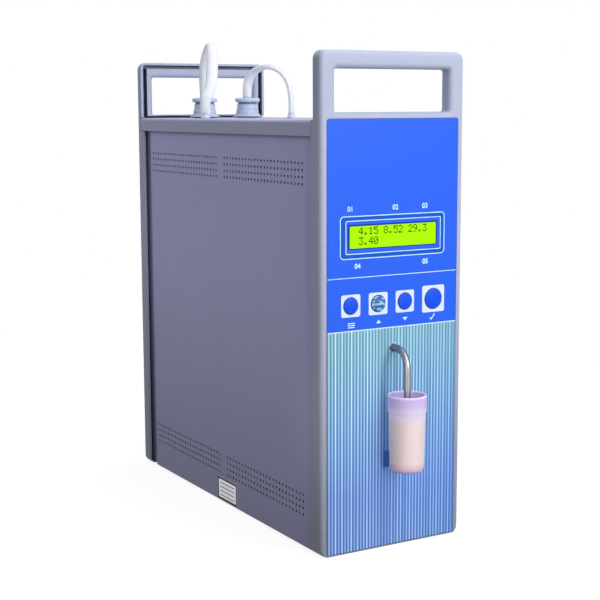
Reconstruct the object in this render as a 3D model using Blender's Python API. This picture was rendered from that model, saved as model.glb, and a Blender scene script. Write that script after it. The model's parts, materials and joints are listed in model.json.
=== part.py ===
"""Desk-top milk analyzer: two moulded end panels that form carrying handles, a sheet body with rows
of vent holes, a front foil with display and buttons, a steel intake tube dipping into a sample cup,
two stoppered rinse reservoirs with silicone hoses, and the pump, measuring cell and boards inside.

Units are metres, Z is up and the front faces -Y. The origin is under the middle of the object's box.
"""

import math

import bmesh
import bpy
from mathutils import Matrix, Vector

MM = 0.001

# Whole instrument
BODY_WIDTH = 100 * MM
BODY_DEPTH = 255 * MM
PANEL_HEIGHT = 293 * MM
HANDLE_RISE = 39 * MM
GAP = 0.3 * MM
OVERRUN = 3 * MM

# End panels, moulded alike, each with a handle opening above the body
PANEL_DEPTH = 10.5 * MM
PANEL_SKIN = 2.5 * MM
PANEL_WALL = 1.6 * MM
PANEL_CORNER = 5 * MM
PANEL_INNER_CORNER = 2 * MM
PANEL_FILLET = 3 * MM
HANDLE_DEPTH = 8 * MM
HANDLE_POST = 10.5 * MM
HANDLE_SLOT = 2.5 * MM
GRIP_HEIGHT = 10.2 * MM
OPENING_HEIGHT = 24.4 * MM
OPENING_CORNER = 1.5 * MM
OPENING_FILLET = 3.2 * MM
SILL_WALL = 2 * MM
CORNER_STEPS = 4
FILLET_STEPS = 3

# Sheet body: cover, sides and base
SHEET = 1.5 * MM
COVER_BEND = 1.8 * MM
COVER_FLANGE = 9 * MM
COVER_OVERLAP = 5 * MM
PANEL_TUCK = 4 * MM
SIDE_BOTTOM = 3 * MM
JOGGLE_SETBACK = 8.5 * MM
JOGGLE_RUN = 4 * MM
JOGGLE_DEPTH = 2 * MM
TAB_HEIGHT = 15 * MM
TAB_INSET = 8 * MM

# Vent holes in the sides
VENT_SIZE = 1.7 * MM
VENT_PITCH = 4.1 * MM
VENT_ROW_PITCH = 4.05 * MM
VENT_ROWS = 4
VENT_FROM_MIDDLE = 5.8 * MM
VENT_FROM_STEP = 4.3 * MM
VENT_FROM_FLANGE = 15.6 * MM
VENT_FROM_BOTTOM = 17.4 * MM

# Front foil and display
FOIL_THICKNESS = 0.5 * MM
FOIL_RECESS = 0.7 * MM
FOIL_PROUD = 0.1 * MM
FOIL_EDGE = 4.5 * MM
FOIL_FOOT = 1 * MM
FOIL_CORNER = 1.5 * MM
WINDOW_WIDTH = 60.8 * MM
WINDOW_HEIGHT = 12.8 * MM
WINDOW_LEVEL = 187.3 * MM
LENS_MARGIN = 1.8 * MM
LENS_THICKNESS = 1.2 * MM
BEZEL_WIDTH = 71.2 * MM
BEZEL_HEIGHT = 26.4 * MM
BEZEL_DEPTH = 5.2 * MM
GLASS_WIDTH = 66 * MM
GLASS_HEIGHT = 17 * MM
GLASS_THICKNESS = 1.1 * MM
BOARD_THICKNESS = 1.6 * MM
DISPLAY_BOARD_INSET = 10 * MM
DISPLAY_BOARD_EDGE = 2 * MM

# Buttons and the board behind them
BUTTON_LEVEL = 147.9 * MM
FIRST_BUTTON_SHARE = -0.296
BUTTON_PITCH_SHARE = 0.189
LAST_PITCH_SHARE = 0.205
BUTTON_RADIUS = 4.9 * MM
ENTER_RADIUS = 6.1 * MM
BUTTON_RISE = 0.9 * MM
BUTTON_EDGE_RISE = 0.3 * MM
BUTTON_FLANGE = 1.2 * MM
BUTTON_FLANGE_THICKNESS = 1 * MM
BUTTON_STEM_RADIUS = 1.8 * MM
BUTTON_STEM_LENGTH = 0.8 * MM
BUTTON_TRAVEL = 0.6 * MM
SWITCH_SIZE = 6 * MM
SWITCH_DEPTH = 3.5 * MM
PLUNGER_RADIUS = 1.5 * MM
PLUNGER_LENGTH = 0.6 * MM
KEYPAD_EDGE = 3.5 * MM
KEYPAD_HEIGHT = 18 * MM
BOSS_RADIUS = 2.2 * MM
BOSS_CLEARANCE = 2.3 * MM

# Intake tube and its bush
INTAKE_LEVEL = 121 * MM
INTAKE_RADIUS = 2.05 * MM
INTAKE_WALL = 0.45 * MM
INTAKE_RUN = 4 * MM
INTAKE_BEND = 11 * MM
INTAKE_TIP = 57 * MM
INTAKE_INSIDE = 27 * MM
BUSH_RADIUS = 5 * MM
BUSH_LENGTH = 5 * MM
BUSH_CLEARANCE = 0.2 * MM

# Sample cup and its holder
CUP_BOTTOM = 50 * MM
CUP_HEIGHT = 45.5 * MM
CUP_BASE_RADIUS = 10.1 * MM
CUP_BODY_RADIUS = 10.8 * MM
CUP_COLLAR_RADIUS = 11.4 * MM
CUP_COLLAR_HEIGHT = 10 * MM
CUP_WALL = 1 * MM
CUP_CORNER = 2 * MM
RIB_HEIGHT = 10 * MM
RIB_ROOT = 4.6 * MM
RIB_END = 7 * MM
RIB_START = 1 * MM
HOLDER_WIDTH = 13 * MM
HOLDER_HEIGHT = 9 * MM
HOLDER_BACK = 0.9 * MM
PEG_RADIUS = 1.5 * MM
PEG_LENGTH = 6 * MM

# Reservoirs, stoppers, hose ports and hoses on top
RESERVOIR_X = 17 * MM
RESERVOIR_Y = 84 * MM
RESERVOIR_RADIUS = 15 * MM
RESERVOIR_WALL = 1.2 * MM
RESERVOIR_BOTTOM = 147.8 * MM
RESERVOIR_SHOULDER = 16 * MM
NECK_RADIUS = 9.3 * MM
NECK_HEIGHT = 11 * MM
STOPPER_BASE_RADIUS = 10.5 * MM
STOPPER_NECK_RADIUS = 7.2 * MM
STOPPER_FLANGE_RADIUS = 8.7 * MM
STOPPER_HEIGHT = 13.8 * MM
STOPPER_RIM = 1 * MM
STOPPER_FLARE = 6 * MM
STOPPER_FLANGE_THICKNESS = 3.2 * MM
STOPPER_ROUND = 0.8 * MM
PLUG_LENGTH = 10 * MM
PLUG_TAPER = 0.6 * MM
PLUG_CLEARANCE = 0.4 * MM
HOSE_DIAMETER = 6.2 * MM
HOSE_STEP_SHARE = 2
THIN_HOSE_STEP_SHARE = 6
HOSE_ARCH_LEFT = 50.2 * MM
HOSE_ARCH_RIGHT = 35.1 * MM
PORT_LEFT_INSET = 12 * MM
PORT_LEFT_Y = 40.7 * MM
PORT_RIGHT_X = 17 * MM
PORT_RIGHT_Y = 20.7 * MM
PORT_COLLAR_RADIUS = 3.9 * MM
PORT_COLLAR_HEIGHT = 2.8 * MM
PORT_STEM_RADIUS = 2.2 * MM
PORT_NIPPLE_LENGTH = 10 * MM
PORT_LOCK = 2 * MM

# Inside: the mounting plate and what it carries
PLATE_X = 8 * MM
PLATE_FRONT = 23 * MM
PLATE_LENGTH = 134 * MM
PLATE_TOP = 140 * MM
PLATE_FOOT = 15 * MM
CELL_WIDTH = 28 * MM
CELL_LENGTH = 36 * MM
CELL_HEIGHT = 26 * MM
CELL_INSET = 1 * MM
TRANSDUCER_RADIUS = 9 * MM
TRANSDUCER_LENGTH = 6 * MM
NIPPLE_LENGTH = 4 * MM
SLEEVE_LENGTH = 6 * MM
SLEEVE_WALL = 1.4 * MM
THIN_HOSE_RADIUS = 1.6 * MM
RINSE_INLET_X = -7 * MM
RINSE_INLET_Y = -80 * MM
PUMP_Y = -25 * MM
PUMP_LEVEL = 60 * MM
PUMP_SIZE = 50 * MM
PUMP_CORNER = 5 * MM
PUMP_BACK = 3 * MM
PUMP_POCKET = 16.7 * MM
PUMP_TRACK_SHARE = 0.386
ROLLER_SHARE = 0.2903
ROLLER_LENGTH = 9.8 * MM
ROLLER_BORE = 1.8 * MM
ROLLER_COUNT = 3
PIN_RADIUS = 1.5 * MM
ROTOR_RIM = 3.5 * MM
ROTOR_DISC = 2 * MM
ROTOR_HUB_CLEARANCE = 0.9 * MM
SHAFT_RADIUS = 2.5 * MM
SHAFT_CLEARANCE = 0.3 * MM
SHAFT_HOLE = 4 * MM
SHAFT_END = 8 * MM
MOTOR_RADIUS = 18 * MM
MOTOR_CLEARANCE = 1.8 * MM
MOTOR_GEARBOX = 14 * MM
MOTOR_STEP = 1.2 * MM
MOTOR_BORE = 8 * MM
MAIN_BOARD_LENGTH = 110 * MM
MAIN_BOARD_HEIGHT = 44 * MM
MAIN_BOARD_TOP = 136 * MM
STANDOFF_LENGTH = 6 * MM
STANDOFF_RADIUS = 2.5 * MM
STANDOFF_INSET = 6 * MM
STAND_WIDTH = 68 * MM
STAND_LENGTH = 28 * MM
SUPPLY_WIDTH = 60 * MM
SUPPLY_LENGTH = 46 * MM
SUPPLY_HEIGHT = 32 * MM
SUPPLY_FIN = 3 * MM
SUPPLY_FIN_HEIGHT = 4 * MM
SUPPLY_FINS = 5

# Rear connectors, power switch and screws
INLET_X = -19 * MM
INLET_LEVEL = 36 * MM
INLET_WIDTH = 28 * MM
INLET_HEIGHT = 21 * MM
INLET_FLANGE = 2.5 * MM
INLET_FLANGE_THICKNESS = 2 * MM
INLET_DEPTH = 18 * MM
INLET_CAVITY_MARGIN = 2 * MM
INLET_CHAMFER = 5 * MM
INLET_PIN_WIDTH = 2 * MM
INLET_PIN_HEIGHT = 4 * MM
INLET_PIN_PITCH = 7 * MM
SWITCH_X = 20 * MM
SWITCH_WIDTH = 13 * MM
SWITCH_HEIGHT = 19 * MM
SWITCH_FRAME = 2 * MM
SWITCH_BODY_DEPTH = 14 * MM
ROCKER_ANGLE = math.radians(8)
ROCKER_DEPTH = 6 * MM
ROCKER_CLEARANCE = 0.8 * MM
PIVOT_DEPTH = 3.5 * MM
SERIAL_LEVEL = 72 * MM
SERIAL_FLANGE_WIDTH = 31 * MM
SERIAL_FLANGE_HEIGHT = 12.5 * MM
SERIAL_FLANGE_THICKNESS = 1 * MM
SERIAL_SHELL_WIDTH = 17 * MM
SERIAL_SHELL_HEIGHT = 8.4 * MM
SERIAL_SHELL_SLANT = 1 * MM
SERIAL_WALL = 0.8 * MM
SERIAL_REACH = 5.5 * MM
SERIAL_DEPTH = 9 * MM
SCREW_INSET = 10 * MM
SCREW_LOW = 12 * MM
SCREW_DROP = 9 * MM
SCREW_HEAD_RADIUS = 2.8 * MM
SCREW_HEAD_HEIGHT = 1.8 * MM
SCREW_RADIUS = 1.5 * MM
SCREW_CLEARANCE = 0.25 * MM
SCREW_LENGTH = 9 * MM
SCREW_CROWN_SHARE = 0.6

# Values that follow from the sizes above
FRONT = -BODY_DEPTH / 2
REAR = BODY_DEPTH / 2
HALF_WIDTH = BODY_WIDTH / 2
COVER_TOP = PANEL_HEIGHT - HANDLE_RISE
SCREW_X = HALF_WIDTH - SCREW_INSET
PORT_LEFT_X = PORT_LEFT_INSET - HALF_WIDTH
OPENING_HALF = HALF_WIDTH - HANDLE_POST
OPENING_TOP = PANEL_HEIGHT - GRIP_HEIGHT
SILL = OPENING_TOP - OPENING_HEIGHT
ISLAND_SIDE = HANDLE_POST - PANEL_WALL - HANDLE_SLOT
ISLAND_TOP = GRIP_HEIGHT - PANEL_WALL - HANDLE_SLOT
SPLIT = COVER_TOP + GAP
SIDE_FACE = HALF_WIDTH - PANEL_WALL - GAP
SIDE_TOP = COVER_TOP - SHEET - GAP
BASE_HALF = SIDE_FACE - SHEET - GAP - JOGGLE_DEPTH
BASE_TOP = SIDE_BOTTOM + SHEET
PLATE_FLOOR = BASE_TOP + GAP
INNER_FRONT = FRONT + PANEL_DEPTH
INNER_REAR = REAR - PANEL_DEPTH
FOIL_FRONT = -FOIL_PROUD
FOIL_HALF = HALF_WIDTH - FOIL_EDGE
FOIL_TOP = SILL - OPENING_FILLET - GAP - GAP
LENS_DEPTH = FOIL_FRONT + FOIL_THICKNESS + GAP
BEHIND_SKIN = PANEL_SKIN + GAP
FIRST_BUTTON_X = BODY_WIDTH * FIRST_BUTTON_SHARE
BUTTON_PITCH = BODY_WIDTH * BUTTON_PITCH_SHARE
ENTER_X = FIRST_BUTTON_X + BUTTON_PITCH + BUTTON_PITCH + BODY_WIDTH * LAST_PITCH_SHARE
BUTTONS = [
    (FIRST_BUTTON_X, BUTTON_RADIUS),
    (FIRST_BUTTON_X + BUTTON_PITCH, BUTTON_RADIUS),
    (FIRST_BUTTON_X + BUTTON_PITCH + BUTTON_PITCH, BUTTON_RADIUS),
    (ENTER_X, ENTER_RADIUS),
]
BOSS_X = ENTER_X + ENTER_RADIUS + BUTTON_FLANGE + BOSS_CLEARANCE + BOSS_RADIUS
PLUNGER_DEPTH = (
    BEHIND_SKIN + BUTTON_FLANGE_THICKNESS + BUTTON_STEM_LENGTH + BUTTON_TRAVEL + GAP
)
KEYPAD_DEPTH = PLUNGER_DEPTH + PLUNGER_LENGTH + SWITCH_DEPTH
CUP_STANDOFF = INTAKE_RUN + INTAKE_BEND
ORIGIN_Y = (CUP_STANDOFF + CUP_COLLAR_RADIUS - SERIAL_REACH) / 2
PORT_SEAT = COVER_TOP + GAP
TRACK_RADIUS = PUMP_SIZE * PUMP_TRACK_SHARE
HOSE_LOOP = TRACK_RADIUS - GAP - THIN_HOSE_RADIUS
ROLLER_SWEEP = HOSE_LOOP - THIN_HOSE_RADIUS - GAP
ROLLER_RADIUS = ROLLER_SWEEP * ROLLER_SHARE
ROLLER_ORBIT = ROLLER_SWEEP - ROLLER_RADIUS
ROTOR_RADIUS = ROLLER_ORBIT + ROTOR_RIM
ROTOR_HUB = ROLLER_ORBIT - ROLLER_RADIUS - ROTOR_HUB_CLEARANCE
PUMP_X = PLATE_X - GAP - PUMP_BACK
MOTOR_X = PLATE_X + SHEET + GAP
MOTOR_LENGTH = SIDE_FACE - SHEET - MOTOR_CLEARANCE - MOTOR_X
BEHIND = math.pi

# Hose routes, each point as shares of the way across, along and up from one end to the other.
# Over the cover, the last share is of the arch's height instead.
LEFT_ARCH_SHARES = [
    (0.01, 0, 0.43),
    (0.03, 0.02, 0.6),
    (0.045, 0.07, 0.75),
    (0.055, 0.15, 0.875),
    (0.075, 0.255, 0.965),
    (0.145, 0.39, 1),
    (0.27, 0.54, 0.945),
    (0.4, 0.675, 0.82),
    (0.52, 0.79, 0.66),
    (0.65, 0.885, 0.5),
    (0.81, 0.96, 0.37),
    (0.965, 0.997, 0.28),
    (1, 1, 0.17),
]
RIGHT_ARCH_SHARES = [
    (0, 0, 0.55),
    (0, 0.032, 0.741),
    (0, 0.101, 0.866),
    (0, 0.231, 0.952),
    (0, 0.357, 0.991),
    (0, 0.49, 1),
    (0, 0.635, 0.969),
    (0, 0.765, 0.892),
    (0, 0.87, 0.775),
    (0, 0.948, 0.621),
    (0, 0.986, 0.442),
    (0, 1, 0.22),
]
RISER_SHARES = [
    (0, 0, 0.27),
    (0.05, 0.06, 0.49),
    (0.5, 0.48, 0.71),
    (0.89, 0.87, 0.87),
    (1, 1, 0.96),
]
CELL_HOSE_SHARES = [(0, 0, 0.55), (0, 0.07, 0.8), (0, 0.3, 0.96), (0, 0.6, 1)]
RINSE_SHARES = [
    (0, 0, 0.1),
    (0.065, 0.07, 0.35),
    (0.32, 0.34, 0.7),
    (0.71, 0.71, 0.86),
    (0.95, 0.95, 0.89),
    (1, 1, 0.96),
]


def clear_scene():
    for obj in list(bpy.data.objects):
        bpy.data.objects.remove(obj)


def material(name, colour, roughness, metallic=0.0, alpha=1.0):
    """A plain Principled material, made once for each name."""
    found = bpy.data.materials.get(name)
    if found:
        return found
    made = bpy.data.materials.new(name)
    made.use_nodes = True
    shader = made.node_tree.nodes["Principled BSDF"]
    shader.inputs["Base Color"].default_value = (*colour, 1.0)
    shader.inputs["Roughness"].default_value = roughness
    shader.inputs["Metallic"].default_value = metallic
    shader.inputs["Alpha"].default_value = alpha
    return made


def panel_plastic():
    return material("panel_plastic", (0.50, 0.53, 0.72), 0.45)


def cover_paint():
    return material("cover_paint", (0.20, 0.21, 0.28), 0.5)


def side_paint():
    return material("side_paint", (0.16, 0.16, 0.25), 0.55)


def foil_print():
    return material("foil_print", (0.05, 0.16, 1.0), 0.35)


def button_blue():
    return material("button_blue", (0.01, 0.05, 0.75), 0.3)


def clear_plastic():
    return material("clear_plastic", (0.9, 0.95, 0.95), 0.1, alpha=0.35)


def display_green():
    return material("display_green", (0.35, 0.9, 0.02), 0.3)


def board_green():
    return material("board_green", (0.02, 0.2, 0.08), 0.5)


def steel():
    return material("steel", (0.6, 0.6, 0.62), 0.25, metallic=1.0)


def cup_plastic():
    return material("cup_plastic", (0.55, 0.42, 0.8), 0.35, alpha=0.7)


def stopper_rubber():
    return material("stopper_rubber", (0.34, 0.44, 0.6), 0.6)


def silicone():
    return material("silicone", (0.85, 0.86, 0.92), 0.45)


def dark_plastic():
    return material("dark_plastic", (0.02, 0.02, 0.025), 0.5)


def bottle_plastic():
    return material("bottle_plastic", (0.8, 0.82, 0.85), 0.4)


def cell_metal():
    return material("cell_metal", (0.7, 0.7, 0.72), 0.4, metallic=1.0)


def rounded_outline(left, right, low, high, radius, steps=CORNER_STEPS):
    """Points round a rectangle with round corners, anticlockwise from its right-hand side."""
    centres = (
        (right - radius, high - radius),
        (left + radius, high - radius),
        (left + radius, low + radius),
        (right - radius, low + radius),
    )
    points = []
    for quarter, (across, up) in enumerate(centres):
        for k in range(steps + 1):
            angle = math.pi / 2 * (quarter + k / steps)
            points.append((across + radius * math.cos(angle), up + radius * math.sin(angle)))
    return points


def square_outline(left, right, low, high):
    return [(right, low), (right, high), (left, high), (left, low)]


def round_outline(radius, sides, across=0, up=0):
    turns = [2 * math.pi * k / sides for k in range(sides)]
    return [(across + radius * math.cos(t), up + radius * math.sin(t)) for t in turns]


def bridge(bm, low, high):
    """Faces between two rows of points, either of which may be one point on the axis."""
    count = max(len(low), len(high))
    for i in range(count):
        j = (i + 1) % count
        if len(low) == 1:
            bm.faces.new((low[0], high[j], high[i]))
        elif len(high) == 1:
            bm.faces.new((low[i], low[j], high[0]))
        else:
            bm.faces.new((low[i], low[j], high[j], high[i]))


def finished(bm):
    bmesh.ops.recalc_face_normals(bm, faces=bm.faces)
    mesh = bpy.data.meshes.new("form")
    bm.to_mesh(mesh)
    bm.free()
    return mesh


def lofted(rings, closed=False):
    """A closed body through rings of points: with flat ends, or closed round on itself."""
    bm = bmesh.new()
    rows = [[bm.verts.new(point) for point in ring] for ring in rings]
    for low, high in zip(rows, rows[1:]):
        bridge(bm, low, high)
    if closed:
        bridge(bm, rows[-1], rows[0])
    else:
        for row in (rows[0], rows[-1]):
            if len(row) > 1:
                bm.faces.new(row)
    return finished(bm)


def turned(profile, segments, closed=False):
    """A body of revolution about Z from (radius, height) pairs; a radius of 0 is on the axis."""
    rings = []
    for radius, height in profile:
        if radius == 0:
            rings.append([(0, 0, height)])
        else:
            rings.append([(x, y, height) for x, y in round_outline(radius, segments)])
    return lofted(rings, closed)


def prism(outline, start, end, axis="Y"):
    """An outline carried from start to end along one axis; its pairs are the other two in order."""

    def placed(across, up, along):
        if axis == "X":
            return (along, across, up)
        if axis == "Y":
            return (across, along, up)
        return (across, up, along)

    return lofted([[placed(a, b, along) for a, b in outline] for along in (start, end)])


def box(left, right, front, back, low, high):
    return prism(square_outline(left, right, low, high), front, back)


def pipe(path, outer, inner, sides):
    """A bent pipe with its bore, along a path in the plane x = 0."""
    rows = []
    for radius, places in ((outer, path), (inner, path[::-1])):
        for place in places:
            k = path.index(place)
            before = Vector(path[max(k - 1, 0)])
            after = Vector(path[min(k + 1, len(path) - 1)])
            side = Vector((1, 0, 0))
            other = (after - before).normalized().cross(side)
            ring = round_outline(radius, sides)
            rows.append([Vector(place) + side * a + other * b for a, b in ring])
    return lofted(rows, closed=True)


def add(name, mesh, finish, parent, location=(0, 0, 0), turn=(0, 0, 0), smooth=True):
    """A named object of the model, shaded smooth except at its sharp edges."""
    obj = bpy.data.objects.new(name, mesh)
    bpy.context.scene.collection.objects.link(obj)
    obj.parent = parent
    obj.location = location
    obj.rotation_euler = turn
    if not mesh.materials:
        mesh.materials.append(finish)
    if smooth:
        mesh.shade_smooth()
        mesh.set_sharp_from_angle(angle=math.radians(40))
    return obj


def frame_empty(name, location, turn=(0, 0, 0), parent=None):
    empty = bpy.data.objects.new(name, None)
    bpy.context.scene.collection.objects.link(empty)
    empty.parent = parent
    empty.location = location
    empty.rotation_euler = turn
    return empty


def combine(target, mesh, operation):
    """A Boolean with a hidden helper that keeps to the target's own frame."""
    helper = bpy.data.objects.new(f"{target.name}_{operation.lower()}", mesh)
    bpy.context.scene.collection.objects.link(helper)
    helper.parent = target
    helper.hide_render = True
    helper.display_type = "WIRE"
    modifier = target.modifiers.new(helper.name, "BOOLEAN")
    modifier.operation = operation
    modifier.solver = "EXACT"
    modifier.object = helper


def cut(target, mesh):
    combine(target, mesh, "DIFFERENCE")


def join(target, mesh):
    combine(target, mesh, "UNION")


def panel_ring(inset, depth):
    half = HALF_WIDTH - inset
    outline = rounded_outline(-half, half, 0, PANEL_HEIGHT - inset, PANEL_CORNER - inset)
    return [(x, depth, z) for x, z in outline]


def opening_ring(spread, depth):
    half = OPENING_HALF + spread
    corner = OPENING_CORNER + spread
    outline = rounded_outline(-half, half, SILL - spread, OPENING_TOP + spread, corner)
    return [(x, depth, z) for x, z in outline]


def quarter_round(radius):
    """(inset, depth) pairs down a rounded edge, from the face to the side."""
    turns = [math.pi / 2 * k / FILLET_STEPS for k in range(FILLET_STEPS + 1)]
    return [(radius - radius * math.sin(t), radius - radius * math.cos(t)) for t in turns]


def end_panel(name, parent):
    """The moulded shell: rounded outer edges, a hollow back, and a grip round the opening.
    Its outer face is at y = 0 and it reaches inwards along +y."""
    rings = [panel_ring(*step) for step in quarter_round(PANEL_FILLET)]
    rings.append(panel_ring(0, PANEL_DEPTH))
    panel = add(name, lofted(rings), panel_plastic(), parent)
    inner = HALF_WIDTH - PANEL_WALL
    corner = PANEL_INNER_CORNER
    hollow = rounded_outline(-inner, inner, PANEL_WALL, PANEL_HEIGHT - PANEL_WALL, corner)
    cut(panel, prism(hollow, PANEL_SKIN, PANEL_DEPTH + OVERRUN))
    top = PANEL_HEIGHT + OVERRUN
    side = HALF_WIDTH + OVERRUN
    cut(panel, box(-side, side, HANDLE_DEPTH, PANEL_DEPTH + OVERRUN, SPLIT, top))
    island = OPENING_HALF + ISLAND_SIDE
    roof = OPENING_TOP + ISLAND_TOP
    join(panel, box(-island, island, PANEL_SKIN / 2, HANDLE_DEPTH, SILL - SILL_WALL, roof))
    steps = [opening_ring(OPENING_FILLET, -OVERRUN)]
    steps += [opening_ring(*step) for step in quarter_round(OPENING_FILLET)]
    steps.append(opening_ring(0, PANEL_DEPTH + OVERRUN))
    cut(panel, lofted(steps))
    return panel


def front_panel(front):
    """The front shell, with its foil recess, display aperture, button holes and board bosses."""
    panel = end_panel("front_panel", front)
    half = FOIL_HALF + GAP
    recess = rounded_outline(-half, half, FOIL_FOOT - GAP, FOIL_TOP + GAP, FOIL_CORNER + GAP)
    cut(panel, prism(recess, -OVERRUN, FOIL_RECESS))
    wide = WINDOW_WIDTH / 2 + LENS_MARGIN + GAP
    tall = WINDOW_HEIGHT / 2 + LENS_MARGIN + GAP
    through = PANEL_SKIN + OVERRUN
    cut(panel, box(-wide, wide, 0, through, WINDOW_LEVEL - tall, WINDOW_LEVEL + tall))
    for x, radius in BUTTONS:
        cut(panel, prism(round_outline(radius + GAP, 16, x, BUTTON_LEVEL), 0, through))
    cut(panel, prism(round_outline(INTAKE_RADIUS + GAP, 10, 0, INTAKE_LEVEL), 0, through))
    peg = CUP_BOTTOM + HOLDER_HEIGHT / 2
    cut(panel, prism(round_outline(PEG_RADIUS + GAP, 8, 0, peg), 0, through))
    for x in (-BOSS_X, BOSS_X):
        outline = round_outline(BOSS_RADIUS, 8, x, BUTTON_LEVEL)
        join(panel, prism(outline, PANEL_SKIN / 2, KEYPAD_DEPTH - GAP))


def rear_panel(rear):
    """The rear shell, notched for the cover's flanges and cut out for the connectors."""
    panel = end_panel("rear_panel", rear)
    notch = PANEL_DEPTH - COVER_OVERLAP - GAP
    low = COVER_TOP - COVER_FLANGE - GAP
    for side in (-1, 1):
        inner, outer = sorted((side * (SIDE_FACE + GAP / 2), side * (HALF_WIDTH + OVERRUN)))
        cut(panel, box(inner, outer, notch, PANEL_DEPTH + OVERRUN, low, SPLIT + GAP))
    through = PANEL_SKIN + OVERRUN
    wide, tall = INLET_WIDTH / 2 + GAP, INLET_HEIGHT / 2 + GAP
    inlet = square_outline(INLET_X - wide, INLET_X + wide, INLET_LEVEL - tall, INLET_LEVEL + tall)
    cut(panel, prism(inlet, -OVERRUN, through))
    wide, tall = SWITCH_WIDTH / 2 + GAP, SWITCH_HEIGHT / 2 + GAP
    switch = square_outline(
        SWITCH_X - wide, SWITCH_X + wide, INLET_LEVEL - tall, INLET_LEVEL + tall
    )
    cut(panel, prism(switch, -OVERRUN, through))
    cut(panel, prism(serial_outline(GAP), -OVERRUN, through))
    for x, level in screw_places():
        outline = round_outline(SCREW_RADIUS + SCREW_CLEARANCE, 10, x, level)
        cut(panel, prism(outline, -OVERRUN, through))


def cover_section():
    """The cover's bent sheet across the body, as one closed outline."""
    low = COVER_TOP - COVER_FLANGE
    turns = [math.pi / 2 * k / FILLET_STEPS for k in range(FILLET_STEPS + 1)]
    centre = (HALF_WIDTH - COVER_BEND, COVER_TOP - COVER_BEND)
    right = [(HALF_WIDTH, low)]
    right += [
        (centre[0] + COVER_BEND * math.cos(t), centre[1] + COVER_BEND * math.sin(t))
        for t in turns
    ]
    left = [(-x, z) for x, z in reversed(right)]
    under = COVER_TOP - SHEET
    inner = HALF_WIDTH - SHEET
    return right + left + [(-inner, low), (-inner, under), (inner, under), (inner, low)]


def top_cover(body):
    """The lid: side flanges that lap the sides and the rear panel, and ends tucked into the panels."""
    start = INNER_FRONT + GAP
    end = INNER_REAR + COVER_OVERLAP
    cover = add("top_cover", prism(cover_section(), start, end), cover_paint(), body)
    under = COVER_TOP - SHEET
    tongue = INNER_FRONT - PANEL_TUCK
    join(cover, box(-SIDE_FACE, SIDE_FACE, tongue, start + OVERRUN, under, COVER_TOP))
    tab = SCREW_X + TAB_INSET / 2
    low = COVER_TOP - TAB_HEIGHT - SHEET
    join(cover, box(-tab, tab, end - SHEET, end, low, COVER_TOP - SHEET / 2))
    for x in (-RESERVOIR_X, RESERVOIR_X):
        outline = round_outline(STOPPER_NECK_RADIUS + PLUG_CLEARANCE, 16, x, RESERVOIR_Y)
        cut(cover, prism(outline, under - OVERRUN, COVER_TOP + OVERRUN, "Z"))
    for x, y in port_places():
        outline = round_outline(PORT_STEM_RADIUS + GAP, 12, x, y)
        cut(cover, prism(outline, under - OVERRUN, COVER_TOP + OVERRUN, "Z"))
    for x in (-SCREW_X, SCREW_X):
        level = COVER_TOP - SCREW_DROP
        outline = round_outline(SCREW_RADIUS + SCREW_CLEARANCE, 10, x, level)
        cut(cover, prism(outline, end - SHEET - OVERRUN, end + OVERRUN))


def vent_places():
    """Centres (y, z) of the vent holes: four rows in each of four groups."""
    top = COVER_TOP - COVER_FLANGE - VENT_FROM_FLANGE
    bottom = SIDE_BOTTOM + VENT_FROM_BOTTOM
    height = VENT_ROW_PITCH * (VENT_ROWS - 1)
    span = INNER_REAR - JOGGLE_SETBACK - VENT_FROM_STEP - VENT_FROM_MIDDLE
    columns = int((span + GAP) / VENT_PITCH) + 1
    reach = VENT_PITCH * (columns - 1) / 2
    offset = VENT_FROM_MIDDLE + span / 2
    places = []
    for middle in (-offset, offset):
        for low in (top - height, bottom):
            for row in range(VENT_ROWS):
                for column in range(columns):
                    y = middle - reach + VENT_PITCH * column
                    places.append((y, low + VENT_ROW_PITCH * row))
    return places


def perforated_sheet(outline, holes):
    """A flat sheet, made as a 2D curve whose inner loops are its holes. Curve X and Y are the
    body's Y and Z, and the thickness is centred on the curve's plane."""
    curve = bpy.data.curves.new("sheet", "CURVE")
    curve.dimensions = "2D"
    curve.fill_mode = "BOTH"
    curve.extrude = SHEET / 2
    for loop in [outline, *holes]:
        spline = curve.splines.new("POLY")
        spline.points.add(len(loop) - 1)
        for point, (across, up) in zip(spline.points, loop):
            point.co = (across, up, 0, 1)
        spline.use_cyclic_u = True
    carrier = bpy.data.objects.new("sheet", curve)
    mesh = bpy.data.meshes.new_from_object(carrier)
    bpy.data.objects.remove(carrier)
    return mesh


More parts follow.
